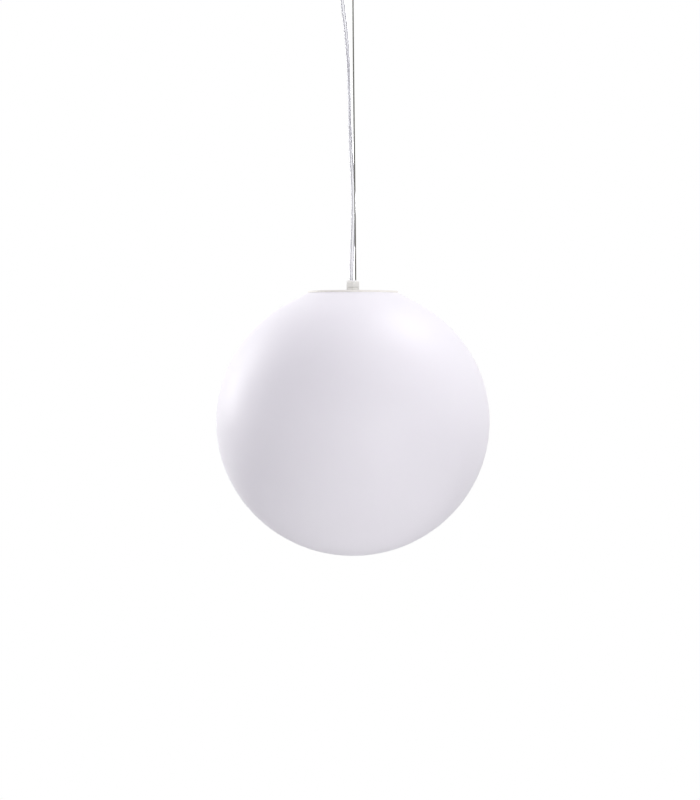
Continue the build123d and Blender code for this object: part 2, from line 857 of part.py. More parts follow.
with BuildPart() as stud_nut:
    with BuildSketch(Plane.XY.offset(-bracket_t)):
        RegularPolygon(stud_r + stud_nut_wall, 6, major_radius=False)
        Circle(stud_r, mode=Mode.SUBTRACT)
    extrude(amount=-stud_nut_t)
stud_nut.part.label = "stud_nut"
export_step(stud_nut.part, "parts/stud_nut.step")

# Canopy: a round-cornered cup with a hole for the stud and one for the cable's grommet
with BuildPart() as canopy:
    with BuildSketch(Plane.XZ):
        with BuildLine():
            Polyline(
                (0, canopy_floor),
                (0, canopy_under),
                (canopy_r - canopy_round, canopy_under),
            )
            JernArc((canopy_r - canopy_round, canopy_under), (1, 0), canopy_round, 90)
            Polyline(
                (canopy_r, canopy_under + canopy_round),
                (canopy_r, -ceiling_seal_t),
                (canopy_r - canopy_wall, -ceiling_seal_t),
                (canopy_r - canopy_wall, canopy_under + canopy_round),
            )
            JernArc(
                (canopy_r - canopy_wall, canopy_under + canopy_round),
                (0, -1),
                canopy_round - canopy_wall,
                -90,
            )
            Line((canopy_r - canopy_round, canopy_floor), (0, canopy_floor))
        make_face()
    revolve(axis=Axis.Z)
    with Locations((0, 0, canopy_floor)):
        Hole(stud_r + hole_clearance, depth=canopy_wall)
    with Locations((entry_x, 0, canopy_floor)):
        Hole(grommet_waist_r, depth=canopy_wall)
canopy.part.label = "canopy"
export_step(canopy.part, "parts/canopy.step")

with BuildPart() as canopy_seal:
    with BuildSketch(Plane.XY):
        Circle(canopy_r)
        Circle(canopy_r - ceiling_seal_w, mode=Mode.SUBTRACT)
    extrude(amount=-ceiling_seal_t)
canopy_seal.part.label = "canopy_seal"
export_step(canopy_seal.part, "parts/canopy_seal.step")

# Wire holder: a cup nut with a spherical seat and a flared mouth, and the ball that rests in it
seat_mouth_z = ball_z - sqrt(seat_r**2 - seat_mouth_r**2)
cavity_top = canopy_under - cup_thread_depth
with BuildPart() as wire_holder:
    with BuildSketch(Plane.XZ):
        with BuildLine():
            Polyline(
                (seat_mouth_r, seat_mouth_z),
                (flare_mouth_r, cup_under),
                (cup_r - metal_chamfer, cup_under),
                (cup_r, cup_under + metal_chamfer),
                (cup_r, canopy_under - cup_flange_t),
                (cup_flange_r, canopy_under - cup_flange_t),
                (cup_flange_r, canopy_under),
                (stud_r + hole_clearance, canopy_under),
                (stud_r + hole_clearance, cavity_top),
                (seat_r, cavity_top),
                (seat_r, ball_z),
            )
            RadiusArc((seat_r, ball_z), (seat_mouth_r, seat_mouth_z), seat_r)
        make_face()
    revolve(axis=Axis.Z)
wire_holder.part.label = "wire_holder"
export_step(wire_holder.part, "parts/wire_holder.step")

with BuildPart() as wire_ball:
    with Locations((0, 0, ball_z)):
        Sphere(ball_r)
    with BuildSketch(Plane.XY.offset(wire_top)):
        Circle(wire_d / 2 + hole_clearance)
    extrude(amount=-(ball_r + wire_socket), mode=Mode.SUBTRACT)
wire_ball.part.label = "wire_ball"
export_step(wire_ball.part, "parts/wire_ball.step")

# Cable entry: a rubber grommet with a tapered boot, and a collar that stops the cable pulling out
with BuildPart() as grommet_blank:
    revolve(
        section(
            (grommet_bore_r, grommet_top),
            (grommet_flange_r, grommet_top),
            (grommet_flange_r, canopy_floor),
            (grommet_waist_r, canopy_floor),
            (grommet_waist_r, canopy_under),
            (grommet_flange_r, canopy_under),
            (grommet_mouth_r + boot_wall, boot_under),
            (grommet_mouth_r, boot_under),
            (grommet_bore_r, canopy_under - boot_bore_h),
        ),
        axis=Axis.Z,
    )
with BuildPart() as cable_grommet:
    with Locations((entry_x, 0, 0)):
        add(grommet_blank.part)
cable_grommet.part.label = "cable_grommet"
export_step(cable_grommet.part, "parts/cable_grommet.step")

lug_x = entry_x - stop_r - lug_l
with BuildPart() as cord_stop:
    with BuildSketch(Plane.XY.offset(grommet_top)):
        with Locations((entry_x, 0)):
            Circle(stop_r)
        with Locations((lug_x, 0)):
            Rectangle(lug_l + lug_root, lug_w, align=(Align.MIN, Align.CENTER))
        with Locations((entry_x, 0)):
            Circle(cable_d / 2, mode=Mode.SUBTRACT)
    extrude(amount=stop_h)
cord_stop.part.label = "cord_stop"
export_step(cord_stop.part, "parts/cord_stop.step")

with BuildPart() as stop_screw:
    with BuildSketch(Plane.YZ.offset(lug_x)):
        with Locations((0, grommet_top + stop_h / 2)):
            Circle(stop_screw_r)
    extrude(amount=-stop_screw_head)
stop_screw.part.label = "stop_screw"
export_step(stop_screw.part, "parts/stop_screw.step")

# Terminal block with its four screws sunk in wells
block_under = -bracket_t - block_h
screw_top = block_under + block_well_depth
pole_places = [(block_x + sx * block_l / 4, sy * pole_spacing / 2) for sx in (-1, 1) for sy in (-1, 1)]
with BuildPart() as terminal_block:
    with BuildSketch(Plane.XY.offset(-bracket_t)):
        with Locations((block_x, 0)):
            RectangleRounded(block_l, block_w, block_round)
    extrude(amount=-block_h)
    with BuildSketch(Plane.XY.offset(block_under)):
        with Locations(*pole_places):
            Circle(block_screw_r + hole_clearance)
    extrude(amount=block_well_depth, mode=Mode.SUBTRACT)
terminal_block.part.label = "terminal_block"
export_step(terminal_block.part, "parts/terminal_block.step")

with BuildPart() as terminal_screws:
    with BuildSketch(Plane.XY.offset(screw_top)):
        with Locations(*pole_places):
            Circle(block_screw_r)
    extrude(amount=-block_screw_h)
    with BuildSketch(Plane.XY.offset(screw_top - block_screw_h)):
        with Locations(*pole_places):
            Rectangle(block_screw_slot, block_screw_r * 2)
    extrude(amount=block_screw_slot, mode=Mode.SUBTRACT)
terminal_screws.part.label = "terminal_screws"
export_step(terminal_screws.part, "parts/terminal_screws.step")

# Cable: its stub in the grommet, its two cores up to the terminal block
with BuildPart() as cable_stub:
    with BuildSketch(Plane.XY.offset(cable_top)):
        with Locations((entry_x, 0)):
            Circle(cable_d / 2)
    extrude(amount=tail_rise)
cable_stub.part.label = "cable_stub"
export_step(cable_stub.part, "parts/cable_stub.step")

block_face_x = block_x - block_l / 2
core_z = block_under + block_h / 2
for side, core_name in ((1, "ceiling_core_live"), (-1, "ceiling_core_neutral")):
    core = route(
        core_name,
        [
            (entry_x, side * 1.4, tail_top),
            (entry_x, side * 1.4, tail_top + 6.0),
            (entry_x + 4.5, side * 6.4, core_z - 1.0),
            (entry_x + 12.0, side * 8.6, core_z + 0.3),
            (entry_x + 19.5, side * 6.6, core_z),
            (block_face_x - 4.5, side * pole_spacing / 2, core_z),
            (block_face_x, side * pole_spacing / 2, core_z),
        ],
        core_d,
    )
    core.label = core_name
    export_step(core, f"parts/{core_name}.step")

# The free stretch of the supply cable beside the taut wire, from the grommet to the gland
supply_cable = route(
    "supply_cable",
    [
        (entry_x, 0, cable_top),
        (entry_x, 0, -62),
        (-9.0, 1.0, -112),
        (-5.6, -0.6, -168),
        (-4.9, 0.9, -226),
        (-3.2, 4.6, -284),
        (1.2, 5.9, -345),
        (0.6, 5.4, -404),
        (cable_x, 0, -450),
        (cable_x, 0, gland_top),
    ],
    cable_d,
)
supply_cable.label = "supply_cable"
export_step(supply_cable, "parts/supply_cable.step")

suspension_wire = route(
    "suspension_wire",
    [
        (0, 0, wire_top),
        (0, 0, wire_top - 42),
        (wire_x, 0, gland_top + 28),
        (wire_x, 0, gland_top),
    ],
    wire_d,
)
suspension_wire.label = "suspension_wire"
export_step(suspension_wire, "parts/suspension_wire.step")

# The cable's end inside the lamp, held in the seal, and its two cores in the lampholder
sheath_end = strap_base - 1.0
inner_cable = route(
    "inner_cable",
    [
        (cable_x, 0, gland_top),
        (cable_x, 0, wire_end),
        (0, 0, nipple_top + 1),
        (0, 0, sheath_end),
    ],
    cable_d,
)
inner_cable.label = "inner_cable"
export_step(inner_cable, "parts/inner_cable.step")

for side, core_name in ((1, "holder_core_live"), (-1, "holder_core_neutral")):
    core = route(
        core_name,
        [
            (side * 1.5, 0, sheath_end),
            (side * 1.5, 0, nipple_under - 1.5),
            (side * terminal_x, 0, terminal_top + 4.5),
            (side * terminal_x, 0, terminal_top - terminal_well),
        ],
        core_d,
    )
    core.label = core_name
    export_step(core, f"parts/{core_name}.step")
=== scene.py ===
# %% [markdown]
# # An outdoor globe light, dressed for its picture
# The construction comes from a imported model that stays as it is. Each cell below either dresses one of its
# pieces or puts a finer mesh in its place. All lengths here are in metres, the ceiling is the plane z = 0,
# the lamp hangs down the Z axis, and the camera looks along +Y.

import bpy
from math import acos, atan2, cos, degrees, hypot, pi, radians, sin
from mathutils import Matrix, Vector
import json
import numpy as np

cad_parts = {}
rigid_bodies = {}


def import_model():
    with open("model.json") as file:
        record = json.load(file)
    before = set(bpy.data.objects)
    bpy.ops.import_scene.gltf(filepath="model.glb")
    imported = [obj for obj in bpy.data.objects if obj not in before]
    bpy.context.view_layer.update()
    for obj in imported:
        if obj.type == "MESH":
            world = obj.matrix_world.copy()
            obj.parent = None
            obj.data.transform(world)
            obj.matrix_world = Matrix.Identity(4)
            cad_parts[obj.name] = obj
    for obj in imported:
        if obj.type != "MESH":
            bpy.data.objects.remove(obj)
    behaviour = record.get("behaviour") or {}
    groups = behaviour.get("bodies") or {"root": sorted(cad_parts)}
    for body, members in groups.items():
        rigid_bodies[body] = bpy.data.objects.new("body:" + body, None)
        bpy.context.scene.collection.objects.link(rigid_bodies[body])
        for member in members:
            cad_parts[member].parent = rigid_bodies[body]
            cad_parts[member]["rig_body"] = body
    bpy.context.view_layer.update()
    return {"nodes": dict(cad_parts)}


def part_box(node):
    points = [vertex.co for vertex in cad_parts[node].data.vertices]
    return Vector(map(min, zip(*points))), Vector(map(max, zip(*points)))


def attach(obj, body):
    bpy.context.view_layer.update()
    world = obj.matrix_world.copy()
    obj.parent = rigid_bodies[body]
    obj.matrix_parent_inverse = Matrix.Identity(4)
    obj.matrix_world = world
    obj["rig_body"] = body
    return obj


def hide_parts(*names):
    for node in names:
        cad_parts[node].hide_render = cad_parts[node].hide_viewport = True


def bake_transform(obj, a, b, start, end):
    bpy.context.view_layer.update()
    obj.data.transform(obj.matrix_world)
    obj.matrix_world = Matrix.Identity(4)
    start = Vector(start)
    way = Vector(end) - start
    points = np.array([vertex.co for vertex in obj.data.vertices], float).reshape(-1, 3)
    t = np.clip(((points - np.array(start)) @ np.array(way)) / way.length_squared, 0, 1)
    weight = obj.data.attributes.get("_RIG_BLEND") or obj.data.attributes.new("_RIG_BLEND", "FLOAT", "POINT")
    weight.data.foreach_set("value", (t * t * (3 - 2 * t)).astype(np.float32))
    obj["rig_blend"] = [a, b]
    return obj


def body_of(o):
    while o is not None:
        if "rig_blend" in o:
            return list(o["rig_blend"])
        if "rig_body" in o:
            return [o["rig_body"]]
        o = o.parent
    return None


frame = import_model()
nodes = frame["nodes"]
scene = bpy.context.scene
scene.view_settings.view_transform = "Standard"

# %% [markdown]
# Blender's operators act on whatever is selected, and loading leaves everything selected. So each new piece
# starts from an empty selection, and ends with its place moved into its mesh: an object at the origin can
# be exported, posed and textured without surprises.

# %% Selecting and finishing
def select_only(*pieces):
    bpy.ops.object.select_all(action="DESELECT")
    for piece in pieces:
        piece.select_set(True)
    bpy.context.view_layer.objects.active = pieces[-1]


def settle(piece, name, sharp=30):
    """Names a piece, puts its place in its mesh and smooths it, apart from edges sharper than that angle."""
    piece.name = name
    piece.data.name = name
    select_only(piece)
    bpy.ops.object.transform_apply(location=True, rotation=True, scale=True)
    bpy.ops.object.shade_smooth_by_angle(angle=radians(sharp))
    print(f"{name}: {len(piece.data.polygons)} faces")
    return piece


# %% [markdown]
# ## Camera
# The photograph was taken from lamp height with a long lens: the globe's neck is seen edge on. A long lens
# far away keeps the round globe round. Its height of view is set where the globe hangs, seven metres off.

# %% Camera
view_height = 1.170
view_centre = Vector((-0.0042, 0, -0.6496))
distance = 7.0
film = 0.036

lens = bpy.data.cameras.new("camera")
lens.sensor_fit = "VERTICAL"
lens.sensor_height = film * 1000
lens.lens = distance * film / view_height * 1000
lens.clip_end = 100
camera = bpy.data.objects.new("camera", lens)
camera.location = view_centre + Vector((0, -distance, 0))
camera.rotation_euler = (radians(90), 0, 0)
scene.collection.objects.link(camera)
scene.camera = camera
print(f"lens {lens.lens:.0f} mm")

# %% [markdown]
# ## Colours and nodes
# Colours are written as on a paint chart, in sRGB hex, and turned to the linear values that shaders take.
# One function adds any node, because a material is easier to read as a list of nodes than as many helpers.

# %% Colours and nodes
def linear(code):
    """A paint-chart colour such as #EDE8F0 as linear red, green, blue and alpha."""
    parts = [int(code[i : i + 2], 16) / 255 for i in (1, 3, 5)]
    return [c / 12.92 if c <= 0.04045 else ((c + 0.055) / 1.055) ** 2.4 for c in parts] + [1.0]


def per_mm(size):
    """The scale that makes a pattern's grain about that many millimetres across."""
    return 1000 / size


def add_node(tree, kind, inputs=None, **settings):
    """Adds a node. Each input is a value, or another node's socket to link."""
    node = tree.nodes.new(kind)
    for name, value in settings.items():
        setattr(node, name, value)
    for name, value in (inputs or {}).items():
        if isinstance(value, bpy.types.NodeSocket):
            tree.links.new(value, node.inputs[name])
        else:
            node.inputs[name].default_value = value
    return node


def start_finish(name, colour, roughness, **sockets):
    """A material with its one shader set, and its tree, ready for a pattern."""
    material = bpy.data.materials.new(name)
    material.use_nodes = True
    material.diffuse_color = linear(colour)
    shader = material.node_tree.nodes["Principled BSDF"]
    shader.inputs["Base Color"].default_value = linear(colour)
    shader.inputs["Roughness"].default_value = roughness
    for socket, value in sockets.items():
        shader.inputs[socket.replace("_", " ")].default_value = value
    return material, material.node_tree


# %% [markdown]
# Most finishes need the same few things: noise of some grain, a tone that follows it, a relief, and a shine
# that varies. Patterns lie in the piece's own coordinates, so they stay put when it moves.

# %% Patterns
def noise(tree, size, detail=2.0, scale=None, distortion=0.0):
    """Noise whose grain is about that many millimetres across, drawn out where its scale is under one."""
    place = add_node(tree, "ShaderNodeTexCoord").outputs["Object"]
    if scale:
        place = add_node(tree, "ShaderNodeMapping", {"Vector": place, "Scale": scale}).outputs[0]
    inputs = {"Vector": place, "Scale": per_mm(size), "Detail": detail, "Distortion": distortion}
    return add_node(tree, "ShaderNodeTexNoise", inputs).outputs["Fac"]


def tint(tree, pattern, dark, light):
    """Colours the finish between two tones, as the pattern goes."""
    inputs = {"Factor": pattern, "A": linear(dark), "B": linear(light)}
    tone = add_node(tree, "ShaderNodeMix", inputs, data_type="RGBA")
    tree.links.new(tone.outputs["Result"], tree.nodes["Principled BSDF"].inputs["Base Color"])


def relief(tree, pattern, strength, depth):
    """Shades the finish as if the pattern stood up by that depth in metres."""
    bump = add_node(tree, "ShaderNodeBump", {"Height": pattern, "Strength": strength, "Distance": depth})
    tree.links.new(bump.outputs[0], tree.nodes["Principled BSDF"].inputs["Normal"])


def wear(tree, pattern, low, high):
    """Lets the roughness go from low to high across the middle of the pattern's range."""
    inputs = {"Value": pattern, "From Min": 0.3, "From Max": 0.7, "To Min": low, "To Max": high}
    spread = add_node(tree, "ShaderNodeMapRange", inputs)
    tree.links.new(spread.outputs["Result"], tree.nodes["Principled BSDF"].inputs["Roughness"])


# %% [markdown]
# ## Floor and light
# A studio shot on white: the sheet behind the lamp is lit to pure white, and so is what the metal and the
# clear cable mirror. That white is given to camera, mirror and see-through rays alone, and the floor's glow
# to camera rays alone, so neither floods the lamp. The lamp itself is lit by a dim all-round light and three
# soft boxes. One in front, a little to the right and low, leaves the left side darker. One high at the back
# right brightens the right shoulder along a slanting line, and one at the back left lifts the left edge
# until it nearly meets the white behind it.

# %% Background
world = bpy.data.worlds.new("studio")
scene.world = world
world.use_nodes = True
sky = world.node_tree
sky.nodes.clear()
ray = add_node(sky, "ShaderNodeLightPath")
seen = ray.outputs["Is Camera Ray"]
for kind in ("Is Glossy Ray", "Is Transmission Ray"):
    either = add_node(sky, "ShaderNodeMath", {0: seen, 1: ray.outputs[kind]}, operation="MAXIMUM")
    seen = either.outputs[0]
fill = add_node(sky, "ShaderNodeBackground", {"Color": linear("#F5F3FB"), "Strength": 0.72})
white = add_node(sky, "ShaderNodeBackground", {"Color": (1, 1, 1, 1), "Strength": 1.0})
both = add_node(sky, "ShaderNodeMixShader", {0: seen, 1: fill.outputs[0], 2: white.outputs[0]})
add_node(sky, "ShaderNodeOutputWorld", {"Surface": both.outputs[0]})

# %% Floor
floor_z = -1.62
floor_r = 2.6
paper_r = 0.9
glow_r = 2.2
bpy.ops.object.select_all(action="DESELECT")
bpy.ops.mesh.primitive_circle_add(vertices=96, radius=floor_r, fill_type="NGON", location=(0, 0, floor_z))
floor = settle(bpy.context.active_object, "floor")
paper, tree = start_finish("studio_paper", "#E0E0E0", 0.9)
place = add_node(tree, "ShaderNodeTexCoord")
flat = {0: place.outputs["Object"], 1: (1, 1, 0)}
spread = add_node(tree, "ShaderNodeVectorMath", flat, operation="MULTIPLY")
reach = add_node(tree, "ShaderNodeVectorMath", {0: spread.outputs[0]}, operation="LENGTH")
fade = {"Value": reach.outputs["Value"], "From Min": paper_r, "From Max": glow_r}
edge = add_node(tree, "ShaderNodeMapRange", fade, interpolation_type="SMOOTHSTEP")
ray = add_node(tree, "ShaderNodeLightPath")
glow = add_node(tree, "ShaderNodeEmission", {"Color": (1, 1, 1, 1), "Strength": ray.outputs["Is Camera Ray"]})
sheet = tree.nodes["Principled BSDF"]
layers = {0: edge.outputs["Result"], 1: sheet.outputs[0], 2: glow.outputs[0]}
faded = add_node(tree, "ShaderNodeMixShader", layers)
tree.links.new(faded.outputs[0], tree.nodes["Material Output"].inputs["Surface"])
floor.data.materials.append(paper)

# %% Lamps
globe_half_height = 196.4  # in millimetres, from the lowest point up to the widest
globe_low, globe_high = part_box("globe")
globe_r = globe_high.x
globe_middle = Vector((0, 0, globe_low.z + globe_half_height / 1000))


def soft_box(name, direction, away, width, height, power):
    """A white rectangular lamp that far away from the globe in a direction, turned to face it."""
    light = bpy.data.lights.new(name, "AREA")
    light.shape = "RECTANGLE"
    light.size = width
    light.size_y = height
    light.energy = power
    lamp = bpy.data.objects.new(name, light)
    lamp.location = globe_middle + away * Vector(direction).normalized()
    lamp.rotation_euler = (-Vector(direction)).to_track_quat("-Z", "Y").to_euler()
    scene.collection.objects.link(lamp)


soft_box("front", (0.42, -0.90, -0.14), away=2.6, width=1.2, height=1.2, power=20)
soft_box("right_shoulder", (0.47, 0.17, 0.87), away=2.6, width=1.2, height=1.2, power=26)
soft_box("left_back", (-0.81, 0.47, 0.34), away=2.2, width=0.8, height=1.4, power=25)

# %% [markdown]
# ## Cable and wire
# The lamp hangs on a thin stranded steel wire, pulled straight by the lamp's weight. The clear supply cable
# goes down beside it with almost no slack, so it wanders a little around the wire. Both lines are a few
# control points of a smooth spline, the same points as in the construction. A tube is then swept along
# points read from that spline, so that its section can be a strand's or a twisted core's.

# %% Routes
entry_x = -0.016
cable_exit = -0.0336
wire_exit = -0.0375
gland_top = -0.4746
cable_x = -0.0015
wire_x = 0.0040

cable_route = [
    (entry_x, 0, cable_exit),
    (entry_x, 0, -0.062),
    (-0.0090, 0.0010, -0.112),
    (-0.0056, -0.0006, -0.168),
    (-0.0049, 0.0009, -0.226),
    (-0.0032, 0.0046, -0.284),
    (0.0012, 0.0059, -0.345),
    (0.0006, 0.0054, -0.404),
    (cable_x, 0, -0.450),
    (cable_x, 0, gland_top),
]
wire_route = [
    (0, 0, wire_exit),
    (0, 0, wire_exit - 0.042),
    (wire_x, 0, gland_top + 0.028),
    (wire_x, 0, gland_top),
]


def smooth_line(route, steps):
    """Points along the NURBS spline whose control points are a cord's route, so many to each stretch."""
    curve = bpy.data.curves.new("line", "CURVE")
    curve.dimensions = "3D"
    curve.resolution_u = steps
    spline = curve.splines.new("NURBS")
    spline.points.add(len(route) - 1)
    for point, place in zip(spline.points, route):
        point.co = (*place, 1)
    spline.order_u = 3
    spline.use_endpoint_u = True
    holder = bpy.data.objects.new("line", curve)
    mesh = bpy.data.meshes.new_from_object(holder)
    line = [vertex.co.copy() for vertex in mesh.vertices]
    bpy.data.objects.remove(holder)
    bpy.data.curves.remove(curve)
    bpy.data.meshes.remove(mesh)
    return line


def length_of(line):
    return sum((b - a).length for a, b in zip(line, line[1:]))


cable_line = smooth_line(cable_route, 32)
wire_line = smooth_line(wire_route, 240)
print(f"cable {length_of(cable_line):.4f}, wire {length_of(wire_line):.4f}, {len(wire_line)} points")

# %% [markdown]
# A swept tube is rings of points, each ring square to the line. The ring's frame is carried along the line
# without twisting, so that any twist in the result is one that was asked for: a strand's lay, or a pair of
# cores that turn round each other.

# %% Sweeping a section along a line
def frames_along(line):
    """At each point of a line: the point, two directions square to the line, and the distance so far."""
    side = Vector((1, 0, 0))
    travelled = 0.0
    for i, point in enumerate(line):
        ahead = (line[min(i + 1, len(line) - 1)] - line[max(i - 1, 0)]).normalized()
        side = (side - side.dot(ahead) * ahead).normalized()
        if i:
            travelled += (point - line[i - 1]).length
        yield point, side, ahead.cross(side), travelled


def swept_tube(name, line, sides, radius, bore=None):
    """A closed rod, or a tube round a bore. Each radius is a number, or a function of angle and distance."""
    walls = [wall if callable(wall) else lambda angle, along, r=wall: r for wall in (radius, bore) if wall]
    points, faces = [], []
    rings = len(line)
    for wall in walls:
        first = len(points)
        for centre, side, up, travelled in frames_along(line):
            for k in range(sides):
                angle = 2 * pi * k / sides
                points.append(centre + wall(angle, travelled) * (cos(angle) * side + sin(angle) * up))
        for i in range(rings - 1):
            for k in range(sides):
                a, b = first + i * sides + k, first + i * sides + (k + 1) % sides
                faces.append((a, b, b + sides, a + sides))
    for end in (0, (rings - 1) * sides):
        if bore:
            for k in range(sides):
                a, b = end + k, end + (k + 1) % sides
                faces.append((a, b, b + rings * sides, a + rings * sides))
        else:
            faces.append(tuple(range(end, end + sides)))
    mesh = bpy.data.meshes.new(name)
    mesh.from_pydata(points, [], faces)
    tube = bpy.data.objects.new(name, mesh)
    scene.collection.objects.link(tube)
    select_only(tube)
    bpy.ops.object.mode_set(mode="EDIT")
    bpy.ops.mesh.select_all(action="SELECT")
    bpy.ops.mesh.normals_make_consistent(inside=False)
    bpy.ops.object.mode_set(mode="OBJECT")
    return settle(tube, name, sharp=50)


def coiled_line(line, offset, lay, start):
    """A line that winds round another at that offset, once for each length of lay."""
    wound = []
    for centre, side, up, travelled in frames_along(line):
        angle = start + 2 * pi * travelled / lay
        wound.append(centre + offset * (cos(angle) * side + sin(angle) * up))
    return wound


# %% Cable: a clear sheath over two twisted cores
cable_d = 0.007
core_d = 0.0024
conductor_d = 0.0013
conductor_offset = 0.00145
core_lay = 0.70


def twisted_core(name, line, number):
    """One of the two cores that wind round each other in the cable, half a turn apart."""
    return swept_tube(name, coiled_line(line, conductor_offset, core_lay, number * pi), 14, conductor_d / 2)


sheath = swept_tube("supply_cable_sheath", cable_line, 32, cable_d / 2)
cores = [twisted_core(f"supply_core_{number}", cable_line, number) for number in (0, 1)]

# %% Wire: six strands laid round one
strands = 6
wire_d = 0.002
strand_lay = 0.014
strand_groove = 0.00024


def strand_radius(angle, along):
    """A stranded wire's radius: one hump for each strand, winding round it."""
    turned = strands * (angle - 2 * pi * along / strand_lay)
    return wire_d / 2 - strand_groove * (1 - abs(cos(turned / 2)))


wire = swept_tube("suspension_wire_strand", wire_line, 36, strand_radius)

# %% [markdown]
# The sheath is clear soft PVC with faint lines along it, as its die left them. The cores are tinned copper
# strands under clear insulation, one smooth and one ribbed, which tells them apart by touch. The wire is
# galvanised steel, dull and a little uneven, so it shows dark against the white.

# %% Finishes of the cable and the wire
clear_pvc, tree = start_finish("clear_soft_pvc", "#F3F3F7", 0.08, Transmission_Weight=1.0, IOR=1.53)
relief(tree, noise(tree, 1.5, scale=(1, 1, 0.08)), 0.25, 0.0002)

core_finishes = []
for name, dark, light, grain in (
    ("tinned_core_in_smooth_pvc", "#D8D7DD", "#F0EFF3", 0.6),
    ("tinned_core_in_ribbed_pvc", "#DEDDE3", "#F4F3F7", 0.3),
):
    finish, tree = start_finish(name, light, 0.3, Coat_Weight=0.4)
    copper = noise(tree, grain, 3.0)
    tint(tree, copper, dark, light)
    relief(tree, copper, 0.3, 0.00005)
    core_finishes.append(finish)

steel_strand, tree = start_finish("stranded_galvanised_steel", "#6C6C66", 0.38, Metallic=1.0)
tint(tree, noise(tree, 9, 4.0), "#41423C", "#6E6E67")

sheath.data.materials.append(clear_pvc)
wire.data.materials.append(steel_strand)
for core, finish in zip(cores, core_finishes):
    core.data.materials.append(finish)

# %% Cords declared: they hang between the ceiling and the gland, and turn a little with the lamp
for piece in (sheath, wire, *cores):
    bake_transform(piece, "suspension", "lamp", start=(0, 0, -0.06), end=(0, 0, gland_top))
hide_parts("supply_cable")
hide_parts("suspension_wire")

# %% [markdown]
# ## Round pieces
# Most of a lamp is round about one axis: moulded, spun, turned or blown. Such a piece could be stacked from
# cylinders, but then each rounding would be a job of its own. Instead its half section is drawn as one line,
# a vertex extruded from corner to corner, and that line is spun about the lamp's axis. Sections are written
# in millimetres as (radius, height), as on a drawing.

# %% Drawing a section and spinning it
mm = 0.001
merge_under = 4e-6


def arc(centre, across, up, start, end, steps):
    """Points on an ellipse about a (radius, height) centre, from one angle in degrees to another."""
    angles = [radians(start + (end - start) * i / steps) for i in range(steps + 1)]
    return [(centre[0] + across * cos(a), centre[1] + up * sin(a)) for a in angles]


def rounded(corners, size, steps=4):
    """An outline's corners with each inner one, apart from the two ends, cut back by that size and rounded."""
    points = [corners[0]]
    for before, at, after in zip(corners, corners[1:], corners[2:]):
        at, back, ahead = Vector(at), Vector(before) - Vector(at), Vector(after) - Vector(at)
        start = at + back.normalized() * min(size, back.length / 2.1)
        end = at + ahead.normalized() * min(size, ahead.length / 2.1)
        for i in range(steps + 1):
            t = i / steps
            points.append(tuple((1 - t) ** 2 * start + 2 * t * (1 - t) * at + t**2 * end))
    return points + [corners[-1]]


def spun(name, outline, sides=96, sharp=30, closed=False, at=(0, 0, 0)):
    """The piece that a half section makes when it is spun about the Z axis, then moved to a place in metres."""
    if closed:
        outline = [*outline, outline[0]]
    bpy.ops.object.select_all(action="DESELECT")
    bpy.ops.mesh.primitive_circle_add(vertices=3, radius=mm)
    piece = bpy.context.active_object
    bpy.ops.object.mode_set(mode="EDIT")
    bpy.ops.mesh.merge(type="CENTER")
    bpy.ops.transform.translate(value=(outline[0][0] * mm, 0, outline[0][1] * mm))
    for before, after in zip(outline, outline[1:]):
        step = ((after[0] - before[0]) * mm, 0, (after[1] - before[1]) * mm)
        bpy.ops.mesh.extrude_vertices_move(TRANSFORM_OT_translate={"value": step})
    bpy.ops.mesh.select_all(action="SELECT")
    bpy.ops.mesh.spin(steps=sides, angle=2 * pi, center=(0, 0, 0), axis=(0, 0, 1))
    bpy.ops.mesh.select_all(action="SELECT")
    bpy.ops.mesh.remove_doubles(threshold=merge_under)
    bpy.ops.mesh.normals_make_consistent(inside=False)
    bpy.ops.object.mode_set(mode="OBJECT")
    piece.location = at
    return settle(piece, name, sharp)


# %% Cutting one piece by another
def cut(piece, tool, operation="DIFFERENCE"):
    """Cuts a piece by a tool, or keeps only what both hold, and removes the tool."""
    boolean = piece.modifiers.new("cut", "BOOLEAN")
    boolean.operation = operation
    boolean.object = tool
    boolean.solver = "EXACT"
    select_only(piece)
    bpy.ops.object.modifier_apply(modifier="cut")
    bpy.data.objects.remove(tool)


def drill(piece, radius, low, high, at=(0, 0), sides=48):
    """Cuts a straight hole in millimetres. Six sides make a socket for a key."""
    bpy.ops.object.select_all(action="DESELECT")
    bpy.ops.mesh.primitive_cylinder_add(
        vertices=sides,
        radius=radius * mm,
        depth=(high - low) * mm,
        location=(at[0] * mm, at[1] * mm, (low + high) / 2 * mm),
    )
    cut(piece, bpy.context.active_object)


def saw(piece, size, height, turn=0):
    """Cuts a screwdriver's slot: a bar of that size in millimetres, with its middle at that height."""
    bpy.ops.object.select_all(action="DESELECT")
    bpy.ops.mesh.primitive_cube_add(size=1, location=(0, 0, height * mm), rotation=(0, 0, radians(turn)))
    bar = bpy.context.active_object
    bar.scale = [side * mm for side in size]
    cut(piece, bar)


def hexagonal(name, outline, half_flats, edge, sides=96, turn=0.0):
    """A spun ring cut to a hexagon, with its edges rounded. A corner faces the viewer unless it is turned."""
    piece = spun(name, outline, sides=sides, closed=True)
    bpy.ops.object.select_all(action="DESELECT")
    bpy.ops.mesh.primitive_cylinder_add(
        vertices=6,
        radius=half_flats / cos(radians(30)) * mm,
        depth=2.0,
        location=(0, 0, -0.5),
        rotation=(0, 0, radians(turn)),
    )
    cut(piece, bpy.context.active_object, "INTERSECT")
    return soften(piece, edge)


def soften(piece, width, segments=2):
    """Rounds the sharp edges by that width in millimetres, as a mould or a deburring brush leaves them."""
    bevel = piece.modifiers.new("edges", "BEVEL")
    bevel.width = width * mm
    bevel.segments = segments
    bevel.limit_method = "ANGLE"
    bevel.angle_limit = radians(35)
    select_only(piece)
    bpy.ops.object.modifier_apply(modifier="edges")
    return settle(piece, piece.name, 35)


